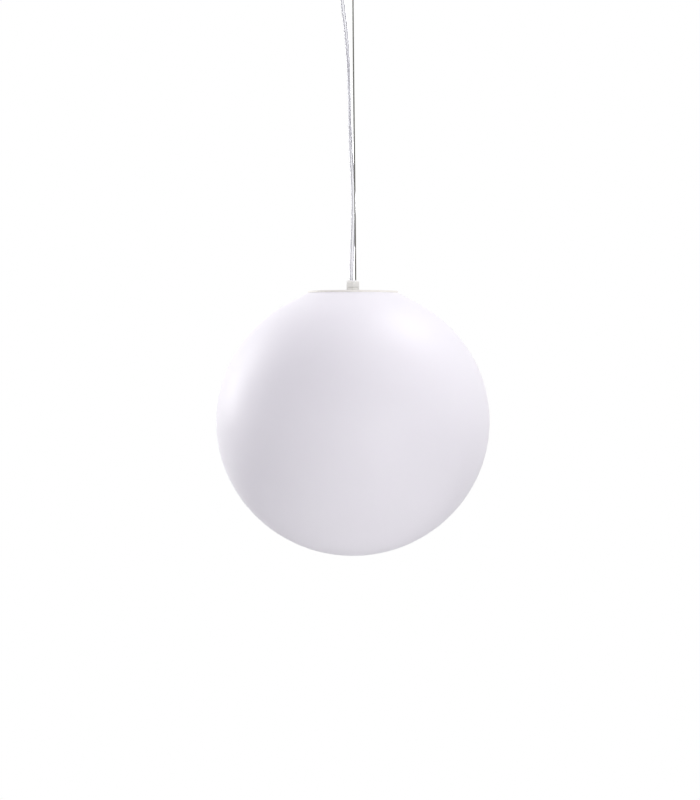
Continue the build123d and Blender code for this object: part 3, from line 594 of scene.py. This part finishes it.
# %% Joining, copying and fitting
def joined(*pieces):
    """Pieces made one object, which is the last of them."""
    select_only(*pieces)
    bpy.ops.object.join()
    return pieces[-1]


def copies(piece, name, spots, height):
    """Copies of a piece at (x, y) places in millimetres, each with a mesh of its own, then joined."""
    made = []
    for x, y in spots:
        copy = piece.copy()
        copy.data = piece.data.copy()
        scene.collection.objects.link(copy)
        copy.location = (x * mm, y * mm, height * mm)
        made.append(copy)
    bpy.data.objects.remove(piece)
    return settle(joined(*made), name)


def fitted(piece, node, finish):
    """A finished piece takes a construction node's place and body, and a material."""
    flats = piece.modifiers.new("flats", "WEIGHTED_NORMAL")
    flats.keep_sharp = True
    select_only(piece)
    bpy.ops.object.modifier_apply(modifier="flats")
    piece.data.materials.clear()
    piece.data.materials.append(finish)
    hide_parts(node)
    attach(piece, body_of(nodes[node])[0])
    return piece


# %% [markdown]
# Some construction pieces already have the right shape and lack only the small roundings of a real edge.
# Their meshes are loose triangles, so a copy is joined up, its flat faces are made whole, and its sharp
# edges are rounded.

# %% Rounding the edges of a copy
def edged(node, width, finish):
    """A copy of a construction node with its sharp edges rounded by that width in millimetres."""
    piece = bpy.data.objects.new(f"{node}_edged", nodes[node].data.copy())
    scene.collection.objects.link(piece)
    select_only(piece)
    bpy.ops.object.mode_set(mode="EDIT")
    bpy.ops.mesh.select_all(action="SELECT")
    bpy.ops.mesh.remove_doubles(threshold=merge_under)
    bpy.ops.mesh.dissolve_limited(angle_limit=radians(0.5))
    bpy.ops.object.mode_set(mode="OBJECT")
    soften(piece, width)
    return fitted(piece, node, finish)


# %% [markdown]
# ## Screw threads
# A thread is the one thing a viewer looks for where the lamp comes apart, and painted on as a bump it would
# vanish from the outline. Each is swept as a real helix: the tube's radius depends on both the angle and the
# height, so a crest climbs one pitch with each turn. All are right-handed, as the joints turn.

# %% Thread sections
def cut_thread(root, crest, pitch, length):
    """A cut thread's radius in metres: flat crests and roots, straight flanks, both ends chamfered."""

    def radius(angle, along):
        phase = (along / mm / pitch - angle / (2 * pi)) % 1
        flank = min(max(abs(phase - 0.5) * 4 - 0.5, 0), 1)
        lead = max(min(along / mm, length - along / mm), 0)
        return min(crest - (crest - root) * flank, root + lead) * mm

    return radius


def rolled_thread(root, crest, pitch, low):
    """A lamp cap's rolled thread, a smooth wave of sheet metal. Its phase follows the height it starts at."""

    def radius(angle, along):
        phase = (along / mm + low) / pitch - angle / (2 * pi)
        return ((root + crest) / 2 + (crest - root) / 2 * cos(2 * pi * phase)) * mm

    return radius


def upright(low, high, step, x=0.0):
    """Points up a straight line between two heights in millimetres, about that step apart."""
    count = max(2, round((high - low) / step))
    return [Vector((x * mm, 0, (low + (high - low) * i / count) * mm)) for i in range(count + 1)]


def threaded(name, low, high, root, crest, pitch, step, sides, bore=None):
    """A rod with a cut thread between two heights in millimetres, or a tube round a bore in metres."""
    thread = cut_thread(root, crest, pitch, high - low)
    return swept_tube(name, upright(low, high, step), sides, thread, bore=bore)


# %% [markdown]
# ## Finishes of the lamp
# The globe is rotomoulded polyethylene: white powder melted against the inside of a hot mould. That leaves
# it satin rather than glossy, faintly rippled like orange peel with a few pores, and a little uneven in tone
# where the wall is thicker. Light goes about a centimetre in, which is more than the wall, so the shadows
# are soft and the inside is lit as well.

# %% Rotomoulded polyethylene
opal_polyethylene, tree = start_finish(
    "rotomoulded_opal_polyethylene", "#F6F3F8", 0.46, IOR=1.5, Specular_IOR_Level=0.35,
    Subsurface_Weight=0.5, Subsurface_Scale=0.010, Subsurface_Radius=(0.95, 1.0, 0.95),
)
thickness = noise(tree, 110)
tint(tree, thickness, "#F4F1F6", "#F8F5FA")
wear(tree, thickness, 0.43, 0.50)
place = add_node(tree, "ShaderNodeTexCoord").outputs["Object"]
pores = add_node(tree, "ShaderNodeTexVoronoi", {"Vector": place, "Scale": per_mm(5.0)})
pit_edge = {"Value": pores.outputs["Distance"], "From Min": 0.02, "From Max": 0.14}
pits = add_node(tree, "ShaderNodeMapRange", pit_edge)
share = {"Factor": 0.12, "A": noise(tree, 2.6), "B": pits.outputs["Result"]}
skin = add_node(tree, "ShaderNodeMix", share, data_type="FLOAT")
relief(tree, skin.outputs["Result"], 0.22, 0.0003)

# %% [markdown]
# The cap is injection moulded in a warmer, cream plastic against a spark-eroded mould, so its grain is even
# and much finer than the globe's. The gland is natural nylon, a little greasy in its shine. The lampholder
# is a harder white plastic round a matt porcelain core, and the bulb's body is the smoothest of them.

# %% Moulded plastics
moulded = []
for name, base, deep, rough, grain, depth in (
    ("cream_moulded_abs", "#EEECE4", "#E7E4DB", 0.50, 0.45, 0.00005),
    ("white_moulded_nylon", "#EEEEEA", "#E6E6E1", 0.36, 0.9, 0.00004),
    ("white_moulded_pbt", "#E9E7E1", "#E1DED7", 0.42, 0.6, 0.00004),
    ("unglazed_porcelain", "#EFEBE0", "#E3DDCF", 0.68, 0.35, 0.00004),
    ("white_bulb_housing", "#E8E8E6", "#E1E1DF", 0.32, 0.8, 0.000006),
):
    finish, tree = start_finish(name, base, rough, IOR=1.53)
    tint(tree, noise(tree, 24, 3.0), deep, base)
    spark = noise(tree, grain)
    relief(tree, spark, 0.35, depth)
    wear(tree, spark, rough - 0.05, rough + 0.05)
    moulded.append(finish)
cream_abs, white_nylon, white_pbt, porcelain, bulb_housing = moulded

# %% [markdown]
# The canopy is spun steel with a baked powder coat. The powder flows before it sets, which leaves a fine
# ripple under a half gloss. Rubber is the opposite: matt, nearly black, with a pale bloom of wax.

# %% Powder coat and rubber
powder_coat, tree = start_finish("white_powder_coat", "#E3E3E0", 0.36, IOR=1.5, Coat_Weight=0.15)
tint(tree, noise(tree, 30), "#DFDFDC", "#E6E6E3")
relief(tree, noise(tree, 0.9), 0.3, 0.00012)

black_rubber, tree = start_finish("moulded_black_rubber", "#1D1D1E", 0.72, IOR=1.52)
tint(tree, noise(tree, 7, 4.0), "#171718", "#2C2C2D")
relief(tree, noise(tree, 0.5), 0.4, 0.00006)

# %% [markdown]
# The small metal pieces differ in how their surface was made. Zinc plating is bluish and a little cloudy.
# Turned brass and nickel-plated brass carry the lathe's fine rings, drawn here as bands that run round
# the axis. Rolled lamp-cap sheet is bright, with streaks from the rollers.

# %% Metals
metals = []
for name, dark, light, rough, cloud, rings, depth in (
    ("bright_zinc_plate", "#ACAFB2", "#C6C8CA", 0.36, 3.0, 0.8, 0.00001),
    ("nickel_plated_brass", "#B9B4A8", "#D5D1C7", 0.24, 9.0, 0.35, 0.00002),
    ("turned_brass", "#BFA066", "#D9C08A", 0.30, 6.0, 0.35, 0.00002),
    ("rolled_cap_sheet", "#B7B8B9", "#D8D9DA", 0.22, 8.0, 0.6, 0.00001),
    ("dull_solder", "#8E8E8B", "#B4B4B0", 0.42, 1.2, 0.9, 0.00004),
):
    finish, tree = start_finish(name, light, rough, Metallic=1.0)
    clouded = noise(tree, cloud, 4.0)
    tint(tree, clouded, dark, light)
    wear(tree, clouded, rough - 0.04, rough + 0.05)
    relief(tree, noise(tree, rings, 3.0, scale=(0.06, 0.06, 1.0)), 0.3, depth)
    metals.append(finish)
zinc_plate, nickel_brass, turned_brass, cap_sheet, solder = metals

# %% [markdown]
# The bulb's dome is opal polycarbonate: smooth, frosted, and softly lit from within its wall. The ring
# between its screw cap and its contact is black glass, glossy with a swirl left from its melt.

# %% Bulb dome and black glass
bulb_opal, tree = start_finish(
    "opal_polycarbonate", "#EBEBE9", 0.32, Subsurface_Weight=0.3, Subsurface_Scale=0.003, IOR=1.58
)
tint(tree, noise(tree, 18), "#E7E7E4", "#EFEFED")
relief(tree, noise(tree, 0.5), 0.2, 0.00003)

black_glass, tree = start_finish("black_insulator_glass", "#0E0E12", 0.09, IOR=1.52, Coat_Weight=0.5)
swirl = noise(tree, 4, 3.0, distortion=1.5)
tint(tree, swirl, "#09090C", "#1B1A22")
relief(tree, swirl, 0.2, 0.0001)

# %% [markdown]
# ## Globe
# The globe is one hollow moulding, 400 mm across. Below it is very nearly a sphere. Near the top it leaves
# the round and runs straight up to a neck, where a flange turns inwards and carries four bosses for the
# cap's screws. A plain sphere with its top cut off would miss all of that, so the wall's whole section is
# drawn, outside and inside, with the neck's edge rounded as a mould leaves it.

# %% Globe
globe_wall = 4.0
neck_r = 66.5
cap_under = -493.0
rebate_r = 61.5
rebate_z = cap_under - 1.2
opening_r = 50.0
flange_under = cap_under - 6.0
globe_z = globe_middle.z / mm
neck_rise = cap_under - globe_z


def touch_angle(r, rise, across, up):
    """Where on an ellipse, in degrees, a straight line from the outside point (r, rise) touches it."""
    return degrees(atan2(rise / up, r / across) - acos(1 / hypot(r / across, rise / up)))


outer_r = globe_r / mm
inner_r = outer_r - globe_wall
inner_half_height = globe_half_height - globe_wall
touch = touch_angle(neck_r, neck_rise, outer_r, globe_half_height)
lean = atan2(neck_rise - globe_half_height * sin(radians(touch)), outer_r * cos(radians(touch)) - neck_r)
flange_wall_r = neck_r + 6.0 / (sin(lean) / cos(lean)) - globe_wall / sin(lean)
inner_touch = touch_angle(flange_wall_r, flange_under - globe_z, inner_r, inner_half_height)
outside = arc((0, globe_z), outer_r, globe_half_height, -90, touch, 56)
inside = arc((0, globe_z), inner_r, inner_half_height, inner_touch, -90, 48)
neck = rounded(
    [
        outside[-1],
        (neck_r, cap_under),
        (rebate_r, cap_under),
        (rebate_r, rebate_z),
        (opening_r, rebate_z),
        (opening_r, flange_under),
        (flange_wall_r, flange_under),
        inside[0],
    ],
    0.7,
)
globe = spun("globe_shell", [*outside, *neck[1:-1], *inside], sides=160, closed=True)

# %% Bosses under the flange, one for each screw
screw_circle = 56.2
screw_spots = [(screw_circle * cos(radians(a)), screw_circle * sin(radians(a))) for a in (45, 135, 225, 315)]
insert_r = 3.2
insert_floor = flange_under - 3.35
screw_hole_r = 2.15
screw_hole_floor = flange_under - 6.35
boss_r = 6.0
boss_low = flange_under - 9
boss_top = flange_under + 0.5
for spot in screw_spots:
    drill(globe, insert_r, flange_under - 1, cap_under + 1, spot)
boss = spun(
    "globe_boss",
    [
        (0, boss_low),
        *rounded([(0.1, boss_low), (boss_r, boss_low), (boss_r, boss_top), (boss_r, boss_top)], 0.9)[1:-1],
        (boss_r, boss_top),
        (insert_r, boss_top),
        (insert_r, insert_floor),
        (screw_hole_r, insert_floor),
        (screw_hole_r, screw_hole_floor),
        (0, screw_hole_floor),
    ],
    sides=32,
)
globe = settle(joined(copies(boss, "globe_bosses", screw_spots, 0), globe), "globe_shell")
fitted(globe, "globe", opal_polyethylene)

# %% Gasket and inserts
gasket_r = rebate_r - 0.1
gasket_hole_r = opening_r + 0.2
gasket_line = [(55, rebate_z), (gasket_r, rebate_z), (gasket_r, cap_under), (gasket_hole_r, cap_under),
               (gasket_hole_r, rebate_z), (55, rebate_z)]
gasket = spun("neck_gasket_ring", rounded(gasket_line, 0.3), sides=128)
for spot in screw_spots:
    drill(gasket, 2.1, rebate_z - 1, cap_under + 1, spot, sides=24)
fitted(gasket, "neck_gasket", black_rubber)
edged("globe_inserts", 0.15, turned_brass)

# %% [markdown]
# ## Cap and its screws
# The cream cap closes the neck. Four countersunk screws with hexagon sockets go through it into brass
# inserts in the globe's bosses. One screw is made and copied, and each copy gets a mesh of its own.

# %% Cap
edged("cap_plate", 0.3, cream_abs)

# %% Cap screws
cap_top = -490.0
key_flats = 2.5
head = spun("head", [(0, 0), (3.7, 0), (4.0, -0.2), (2.05, -2.15), (1.7, -2.4), (0, -2.4)], sides=40)
drill(head, key_flats / 2 / cos(radians(30)), -1.4, 1, sides=6)
shank = threaded("shank", -14.0, -2.2, root=1.62, crest=2.0, pitch=0.7, step=0.09, sides=20)
cap_screws = copies(joined(shank, head), "cap_screw_set", screw_spots, cap_top)
fitted(cap_screws, "cap_screws", zinc_plate)

# %% [markdown]
# ## Cable gland
# The gland is what seals the cable and the wire into the cap, and the only small part that the photograph
# shows clearly: a washer, a hexagonal foot, and a domed nut above it. Its nut is a spun dome cut by a
# hexagonal bar, which gives the curved lines where the flats meet the dome, as on the moulded one.

# %% Gland: washer and body
washer_top = -488.8
foot_top = -485.0
neck_top = -479.4
nut_low = -484.6
nut_top = gland_top / mm
gland_bore = 5.4
collar_bore = 6.1
gland_half_flats = 9.15
washer_line = [(8.3, cap_top), (9.1, cap_top), (9.1, washer_top), (7.6, washer_top), (7.6, cap_top),
               (8.3, cap_top)]
washer = spun("gland_washer_ring", rounded(washer_line, 0.35), sides=64)
fitted(washer, "gland_washer", black_rubber)

foot = hexagonal(
    "gland_foot",
    [(gland_bore, washer_top), (9.2, washer_top), (10.7, washer_top + 0.7), (10.7, foot_top - 0.7),
     (9.2, foot_top), (collar_bore, foot_top), (collar_bore, foot_top + 0.6), (gland_bore, foot_top + 0.6)],
    gland_half_flats,
    0.18,
)
fine = {"pitch": 1.5, "step": 0.17, "sides": 56}
tail = threaded("gland_tail", -500.0, washer_top + 0.4, root=6.75, crest=7.5, bore=gland_bore * mm, **fine)
collar = threaded("gland_collar", foot_top - 0.3, neck_top, root=6.6, crest=7.2, bore=collar_bore * mm, **fine)
for piece in (foot, tail, collar):
    fitted(piece, "gland_body", white_nylon)

# %% Gland: nut, locknut and what they squeeze
dome = arc((6.5, nut_low + 4.4), 4.066, 5.6, 0, 84, 14)
nut = hexagonal(
    "gland_dome_nut",
    [(7.4, nut_low), (9.5, nut_low), (10.55, nut_low + 0.5), *dome, (6.2, nut_top), (5.7, nut_top),
     (gland_bore, nut_top - 0.3), (gland_bore, nut_top - 2.2), (7.4, nut_top - 2.2)],
    gland_half_flats,
    0.15,
)
fitted(nut, "gland_nut", white_nylon)

locknut_low = cap_under - 5
locknut = hexagonal(
    "gland_lock_ring",
    [(7.5, locknut_low), (9.6, locknut_low), (11.0, locknut_low + 0.8), (11.0, cap_under - 0.7),
     (9.9, cap_under), (7.5, cap_under)],
    9.5,
    0.15,
)
fitted(locknut, "gland_locknut", white_nylon)

edged("gland_seal", 0.25, black_rubber)
edged("gland_slip_ring", 0.12, turned_brass)
edged("wire_bridge", 0.25, zinc_plate)

# %% Wire's end: the strand runs on through the seal to a swaged sleeve
tail_wire = swept_tube("wire_tail_strand", upright(-514.0, nut_top, 0.5, x=wire_x / mm), 24, strand_radius)
fitted(tail_wire, "wire_stop", steel_strand)
sleeve_top = -502.0
sleeve_low = -511.0
sleeve_r = 1.8
pressed_r = 1.55
sleeve_side = [(0.2, sleeve_top), (sleeve_r, sleeve_top)]
for dent in (-504, -507):
    sleeve_side += [(sleeve_r, dent), (pressed_r, dent - 0.6), (pressed_r, dent - 1.8), (sleeve_r, dent - 2.4)]
sleeve_side += [(sleeve_r, sleeve_low), (0.2, sleeve_low)]
sleeve = spun(
    "wire_swaged_sleeve",
    [(0, sleeve_top), *rounded(sleeve_side, 0.25)[1:-1], (0, sleeve_low)],
    sides=32,
    at=(wire_x, 0, 0),
)
fitted(sleeve, "wire_stop", zinc_plate)

# %% [markdown]
# ## Lampholder
# Inside the globe a bent strap straddles the gland and carries a lampholder on a short threaded tube. None
# of it shows until the globe is let down, and then it is all in view, so it is dressed like the outside.

# %% Strap, its screws, and the threaded tube
edged("holder_strap", 0.25, zinc_plate)
head_r = 3.3
head = spun(
    "head",
    [(0, -2.2), *arc((0, -0.9), head_r, 1.3, -88, -12, 8), (head_r, -0.5), (head_r, 0), (1.7, 0.01), (0, 0.01)],
    sides=32,
)
for turn in (0, 90):
    saw(head, (3.8, 0.7, 1.8), height=-1.9, turn=turn)
shank = threaded("shank", -0.3, 7.5, root=1.4, crest=1.75, pitch=0.8, step=0.1, sides=20)
strap_screws = copies(joined(shank, head), "strap_screw_pair", [(30, 0), (-30, 0)], -502.5)
fitted(strap_screws, "strap_screws", zinc_plate)

tube_r = 4.95
tube = threaded(
    "holder_threaded_tube", -539.5, -525.5, root=4.55, crest=tube_r, pitch=1.0, step=0.125, sides=40,
    bore=3.9 * mm,
)
fitted(tube, "holder_nipple", turned_brass)
tube_nut = hexagonal(
    "holder_tube_nut",
    [(tube_r, -530.5), (7.2, -530.5), (8.1, -530.0), (8.1, -528.0), (7.2, -527.5), (tube_r, -527.5)],
    7.0,
    0.12,
    sides=72,
    turn=30,
)
fitted(tube_nut, "nipple_nut", turned_brass)

# %% Lampholder's shell
dome_top = -532
dome_low = -552
dome_line = [
    (5.2, dome_top), (8.5, dome_top), (8.5, -536), (20.5, -544), (20.5, dome_low + 0.4), (20.1, dome_low),
    (18.3, dome_low), (18.3, -544.8), (8.5, -538.3), (tube_r, -538.2), (tube_r, dome_top), (5.2, dome_top),
]
holder_dome = spun("holder_dome", rounded(dome_line, 1.2, steps=6))
fitted(holder_dome, "holder_cap", white_pbt)
edged("holder_body", 0.35, white_pbt)
edged("holder_core", 0.3, porcelain)
edged("holder_terminals", 0.25, turned_brass)

# %% Screw shell and centre contact
shell_low = -581.0
shell_top = -558.0
cap_pitch = 3.629
shell_root = 13.5
shell_crest = 14.4
sheet = 0.6
shell = swept_tube(
    "holder_screw_shell",
    upright(shell_low, shell_top, 0.36),
    72,
    rolled_thread(shell_root, shell_crest, cap_pitch, shell_low),
    bore=rolled_thread(shell_root - sheet, shell_crest - sheet, cap_pitch, shell_low),
)
fitted(shell, "screw_shell", turned_brass)
edged("centre_contact", 0.2, turned_brass)

# %% [markdown]
# ## Bulb
# The bulb is a globe-topped one, 60 mm across, with the common 27 mm screw cap. Its thread is rolled into
# thin sheet, so it is a wave and not a cut thread, and it has the same phase as the holder's shell.

# %% Bulb's contact, black glass and screw cap
pip_top = -561.3
glass_top = -562.9
glass_low = -566.3
thread_top = -568.3
cap_low = -588.8
pip_r = 4.8
pip = spun(
    "bulb_solder_pip",
    [(0, pip_top), *arc((2.9, pip_top - 0.9), 1.9, 0.9, 88, 0, 6), (pip_r, glass_top + 0.1), (pip_r, glass_top),
     (0, glass_top)],
    sides=40,
)
fitted(pip, "bulb_contact", solder)
glass = spun(
    "bulb_black_ring",
    [(0, glass_top), (5.2, glass_top), *arc((11.4, glass_top - 0.2), 6.0, 3.2, 184, 248, 8), (9.2, glass_low),
     (0, glass_low)],
    sides=64,
)
fitted(glass, "bulb_insulator", black_glass)
neck_low = thread_top - 0.3
neck_side = [(9.0, glass_low), (9.4, glass_low), (12.4, thread_top + 0.2), (12.6, neck_low)]
cap_neck = spun("bulb_cap_neck", [(0, glass_low), *rounded(neck_side, 0.5), (0, neck_low)], sides=72)
thread_low = cap_low + 1.4
cap_thread = swept_tube(
    "bulb_cap_thread",
    upright(thread_low, thread_top, 0.36),
    72,
    rolled_thread(12.2, 13.1, cap_pitch, thread_low),
)
rim_r = 13.1
rim_top = cap_low + 1.9
rim_side = [(12.6, cap_low), (rim_r, cap_low), (rim_r, cap_low + 1.6), (12.2, rim_top)]
cap_rim = spun("bulb_cap_rim", [(0, cap_low), *rounded(rim_side, 0.3), (0, rim_top)], sides=72)
for piece in (cap_neck, cap_thread, cap_rim):
    fitted(piece, "bulb_screw_cap", cap_sheet)

# %% Bulb's body and dome
body_low = -622.8
body_top_r = 13.9
flank_r = 65.5
flank_start = 6.84
flank_end = 39.64
flank_middle = (body_top_r + flank_r * cos(radians(flank_start)), cap_low + flank_r * sin(radians(flank_start)))
flank = arc(flank_middle, flank_r, flank_r, 180 + flank_start, 180 + flank_end, 14)
housing = spun(
    "bulb_housing",
    [(0, cap_low), (13.4, cap_low), *flank, (27.6, body_low - 0.3), (26.9, body_low), (0, body_low)],
)
fitted(housing, "bulb_body", bulb_housing)

bulb_low = -671.3
bulb_r = 30.0
dome_end = 18.2
dome_wall = 1.6
dome_half = (body_low - bulb_low) / (1 + sin(radians(dome_end)))
dome_middle = (0, bulb_low + dome_half)
dome_line = arc(dome_middle, bulb_r - 0.03, dome_half, -90, dome_end, 36)
liner_line = arc(dome_middle, bulb_r - dome_wall, dome_half - dome_wall, dome_end, -90, 30)
envelope = spun("bulb_opal_dome", [*dome_line, *liner_line], closed=True)
fitted(envelope, "bulb_envelope", bulb_opal)

# %% [markdown]
# ## Ceiling canopy
# The photograph ends just below the ceiling, so this end is the plain one such lamps have: a shallow spun
# cup over a bracket, a nut under it whose cup holds the ball on the wire's end, and a rubber boot where the
# cable comes out. The boot tapers and has grooves, so that it bends with the cable instead of kinking it.

# %% Canopy
canopy_r = 50.0
canopy_low = -30.0
canopy_floor = -28.6
lip_z = -1.5
canopy_wall = canopy_floor - canopy_low
bend_r = 9.0
stud_hole_r = 4.1
cable_hole_r = 5.4
bend_middle = (canopy_r - bend_r, canopy_low + bend_r)
corner_out = arc(bend_middle, bend_r, bend_r, -90, 0, 12)
corner_in = arc(bend_middle, bend_r - canopy_wall, bend_r - canopy_wall, 0, -90, 10)
canopy = spun(
    "ceiling_canopy",
    [(0, canopy_low), *corner_out, (canopy_r, lip_z - 0.3), (canopy_r - 0.3, lip_z),
     (canopy_r - canopy_wall, lip_z), *corner_in, (0, canopy_floor)],
    sides=128,
)
drill(canopy, stud_hole_r, canopy_low - 1, canopy_floor + 1)
drill(canopy, cable_hole_r, canopy_low - 1, canopy_floor + 1, (entry_x / mm, 0))
fitted(canopy, "canopy", powder_coat)
seal_line = [(47, lip_z), (49.9, lip_z), (49.9, 0), (45.6, 0), (45.6, lip_z), (47, lip_z)]
ceiling_seal = spun("ceiling_seal_ring", rounded(seal_line, 0.4), sides=128)
fitted(ceiling_seal, "canopy_seal", black_rubber)

# %% Bracket, stud and its nut
edged("ceiling_bracket", 0.3, zinc_plate)
stud = threaded("bracket_stud_thread", -34.0, -0.6, root=3.4, crest=4.0, pitch=1.25, step=0.156, sides=40)
stud_head_line = [(0, 0), (6.3, 0), (6.5, -0.2), (6.5, -1.0), (3.9, -1.0), (3.9, -1.4), (0, -1.4)]
stud_head = spun("bracket_stud_head", stud_head_line, sides=48)
for piece in (stud, stud_head):
    fitted(piece, "bracket_stud", zinc_plate)
stud_nut = hexagonal(
    "bracket_stud_nut",
    [(4.0, -6.5), (6.7, -6.5), (7.6, -6.0), (7.6, -2.5), (6.7, -2.0), (4.0, -2.0)],
    6.5,
    0.15,
    sides=72,
    turn=30,
)
fitted(stud_nut, "stud_nut", zinc_plate)

# %% Wire holder and its ball
ball_z = -39.0
ball_r = 4.5
seat_r = 4.65
cup_low = -47.0
grip_r = 7.5
grip_depth = 0.28
diamonds = 30
diamond_rise = 1.55


def knurl(angle, along):
    """The cup's side, cut with a fine diamond grip between two plain bands."""
    height = along / mm
    band = min(max((height - 1.2) / 0.4, 0), 1) * min(max((10.8 - height) / 0.4, 0), 1)
    across, up = diamonds * angle / (2 * pi), height / diamond_rise
    left, right = (abs(line % 1 - 0.5) * 2 for line in (across + up, across - up))
    return (grip_r - grip_depth * band * (1 - min(left, right))) * mm


grip = swept_tube("wire_holder_grip", upright(-45.6, -33.6, 0.2), 180, knurl, bore=0.0052)
cup_side = [(2.6, ball_z - 3.9), (3.1, cup_low), (6.6, cup_low), (7.4, cup_low + 0.9), (7.4, -45.4)]
seat = spun(
    "wire_holder_seat",
    [(2.6, ball_z - 3.86), *rounded(cup_side, 0.4)[1:-1], (7.4, -45.5), (5.1, -45.5), (5.1, -44.2),
     (5.1, ball_z), (seat_r, ball_z), *arc((0, ball_z), seat_r, seat_r, -4, -55, 10)],
    closed=True,
)
collar_line = [(5.5, -33.7), (7.4, -33.7), (7.4, -32.2), (8.6, -32.0), (8.6, -30.0), (4.1, -30.0),
               (4.1, -34.5), (5.3, -34.5), (5.3, -33.7), (5.5, -33.7)]
collar_top = spun("wire_holder_collar", rounded(collar_line, 0.25))
for piece in (grip, seat, collar_top):
    fitted(piece, "wire_holder", nickel_brass)

# The ball's bore narrows to the wire halfway up and opens again, so that the wire isn't cut by it.
bore_top = 1.45
bore_waist = 1.15
bore_mouth = 1.85
ball = spun(
    "wire_end_ball",
    [*arc((0, ball_z), ball_r, ball_r, 90, -65, 26), (bore_mouth, ball_z - 4.1), (bore_waist, ball_z),
     (bore_top, ball_z + 1.8), (0, ball_z + 1.8)],
    sides=64,
)
fitted(ball, "wire_ball", zinc_plate)

# %% Cable boot, cord stop and its screw
boot_low = -50.0
boot_top = -27.1
boot_r = 6.8
boot_bore = 4.85
boot_mouth = 5.85
grooves = 5
boot_side = [(boot_r, canopy_low), (boot_r, -32.4)]
for groove in range(grooves):
    top = -33.2 - groove * 3.1
    out = boot_r + (top - canopy_low) * 0.4 / (canopy_low - boot_low)
    deep = 0.9 - groove * 0.1
    boot_side += [(out, top), (out - deep, top - 0.5), (out - deep - 0.05, top - 1.1), (out - 0.05, top - 1.6)]
boot_side += [(6.42, boot_low + 0.2), (6.38, boot_low), (boot_mouth + 0.05, boot_low)]
boot_flange = [
    (boot_bore + 0.1, boot_top), (boot_r, boot_top), (boot_r, canopy_floor), (cable_hole_r, canopy_floor)
]
boot = spun(
    "cable_boot",
    [(boot_bore, boot_top), *rounded(boot_flange, 0.4)[1:-1], (cable_hole_r, canopy_floor),
     (cable_hole_r, canopy_low), *rounded(boot_side, 0.25), (boot_mouth, boot_low), (boot_bore, -35.0)],
    sides=64,
    closed=True,
    at=(entry_x, 0, 0),
)
fitted(boot, "cable_grommet", black_rubber)
edged("cord_stop", 0.35, white_nylon)
stop_screw = spun("stop_screw_head", [(0, 1.5), (1.6, 1.5), (2.0, 1.15), (2.0, 0), (0, 0)], sides=32)
saw(stop_screw, (6, 0.6, 1.4), height=1.4)
stop_low, stop_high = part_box("stop_screw")
stop_screw.rotation_euler = (0, radians(-90), 0)
stop_screw.location = (stop_high.x, 0, (stop_low.z + stop_high.z) / 2)
settle(stop_screw, "stop_screw_head", 35)
fitted(stop_screw, "stop_screw", zinc_plate)

# %% Terminal block
edged("terminal_block", 0.4, white_nylon)
edged("terminal_screws", 0.12, turned_brass)

# %% [markdown]
# Short lengths of cable and wire run on inside the canopy and the lamp. They follow the same points as in
# the construction, as smooth splines, so that no bend shows a corner.

# %% Leads inside the canopy and the lamp
stub_line = [Vector((entry_x, 0, cable_exit + 1.5 * mm * i)) for i in range(10)]
stub = swept_tube("cable_stub_sheath", stub_line, 32, cable_d / 2)
fitted(stub, "cable_stub", clear_pvc)
canopy_route = [
    (-16, 1.4, -30.2), (-16, 1.4, -20.1), (-16, 1.4, -14.1), (-11.5, 6.4, -10.0),
    (-4.0, 8.6, -8.7), (3.5, 6.6, -9.0), (5.5, 4.5, -9.0), (10.4, 4.5, -9.0),
]
lamp_route = [(1.5, 0, -526), (1.5, 0, -533), (1.5, 0, -541), (9.5, 0, -543.5), (9.5, 0, -550.5)]
for number, (core, side) in enumerate((("live", 1), ("neutral", -1))):
    for node, route, mirror in (
        (f"ceiling_core_{core}", canopy_route, (1, side, 1)),
        (f"holder_core_{core}", lamp_route, (side, 1, 1)),
    ):
        line = smooth_line([[m * c * mm for m, c in zip(mirror, spot)] for spot in route], 12)
        lead = swept_tube(f"{node}_lead", line, 16, core_d / 2)
        fitted(lead, node, core_finishes[number])

inner_line = smooth_line(
    [(cable_x, 0, gland_top), (cable_x, 0, -0.500), (cable_x, 0, -0.514), (0, 0, -0.5245), (0, 0, -0.533)], 16
)
inner = swept_tube("inner_cable_sheath", inner_line, 32, cable_d / 2)
fitted(inner, "inner_cable", clear_pvc)
for number in (0, 1):
    core = twisted_core(f"inner_core_{number}", inner_line, number)
    fitted(core, "inner_cable", core_finishes[number])
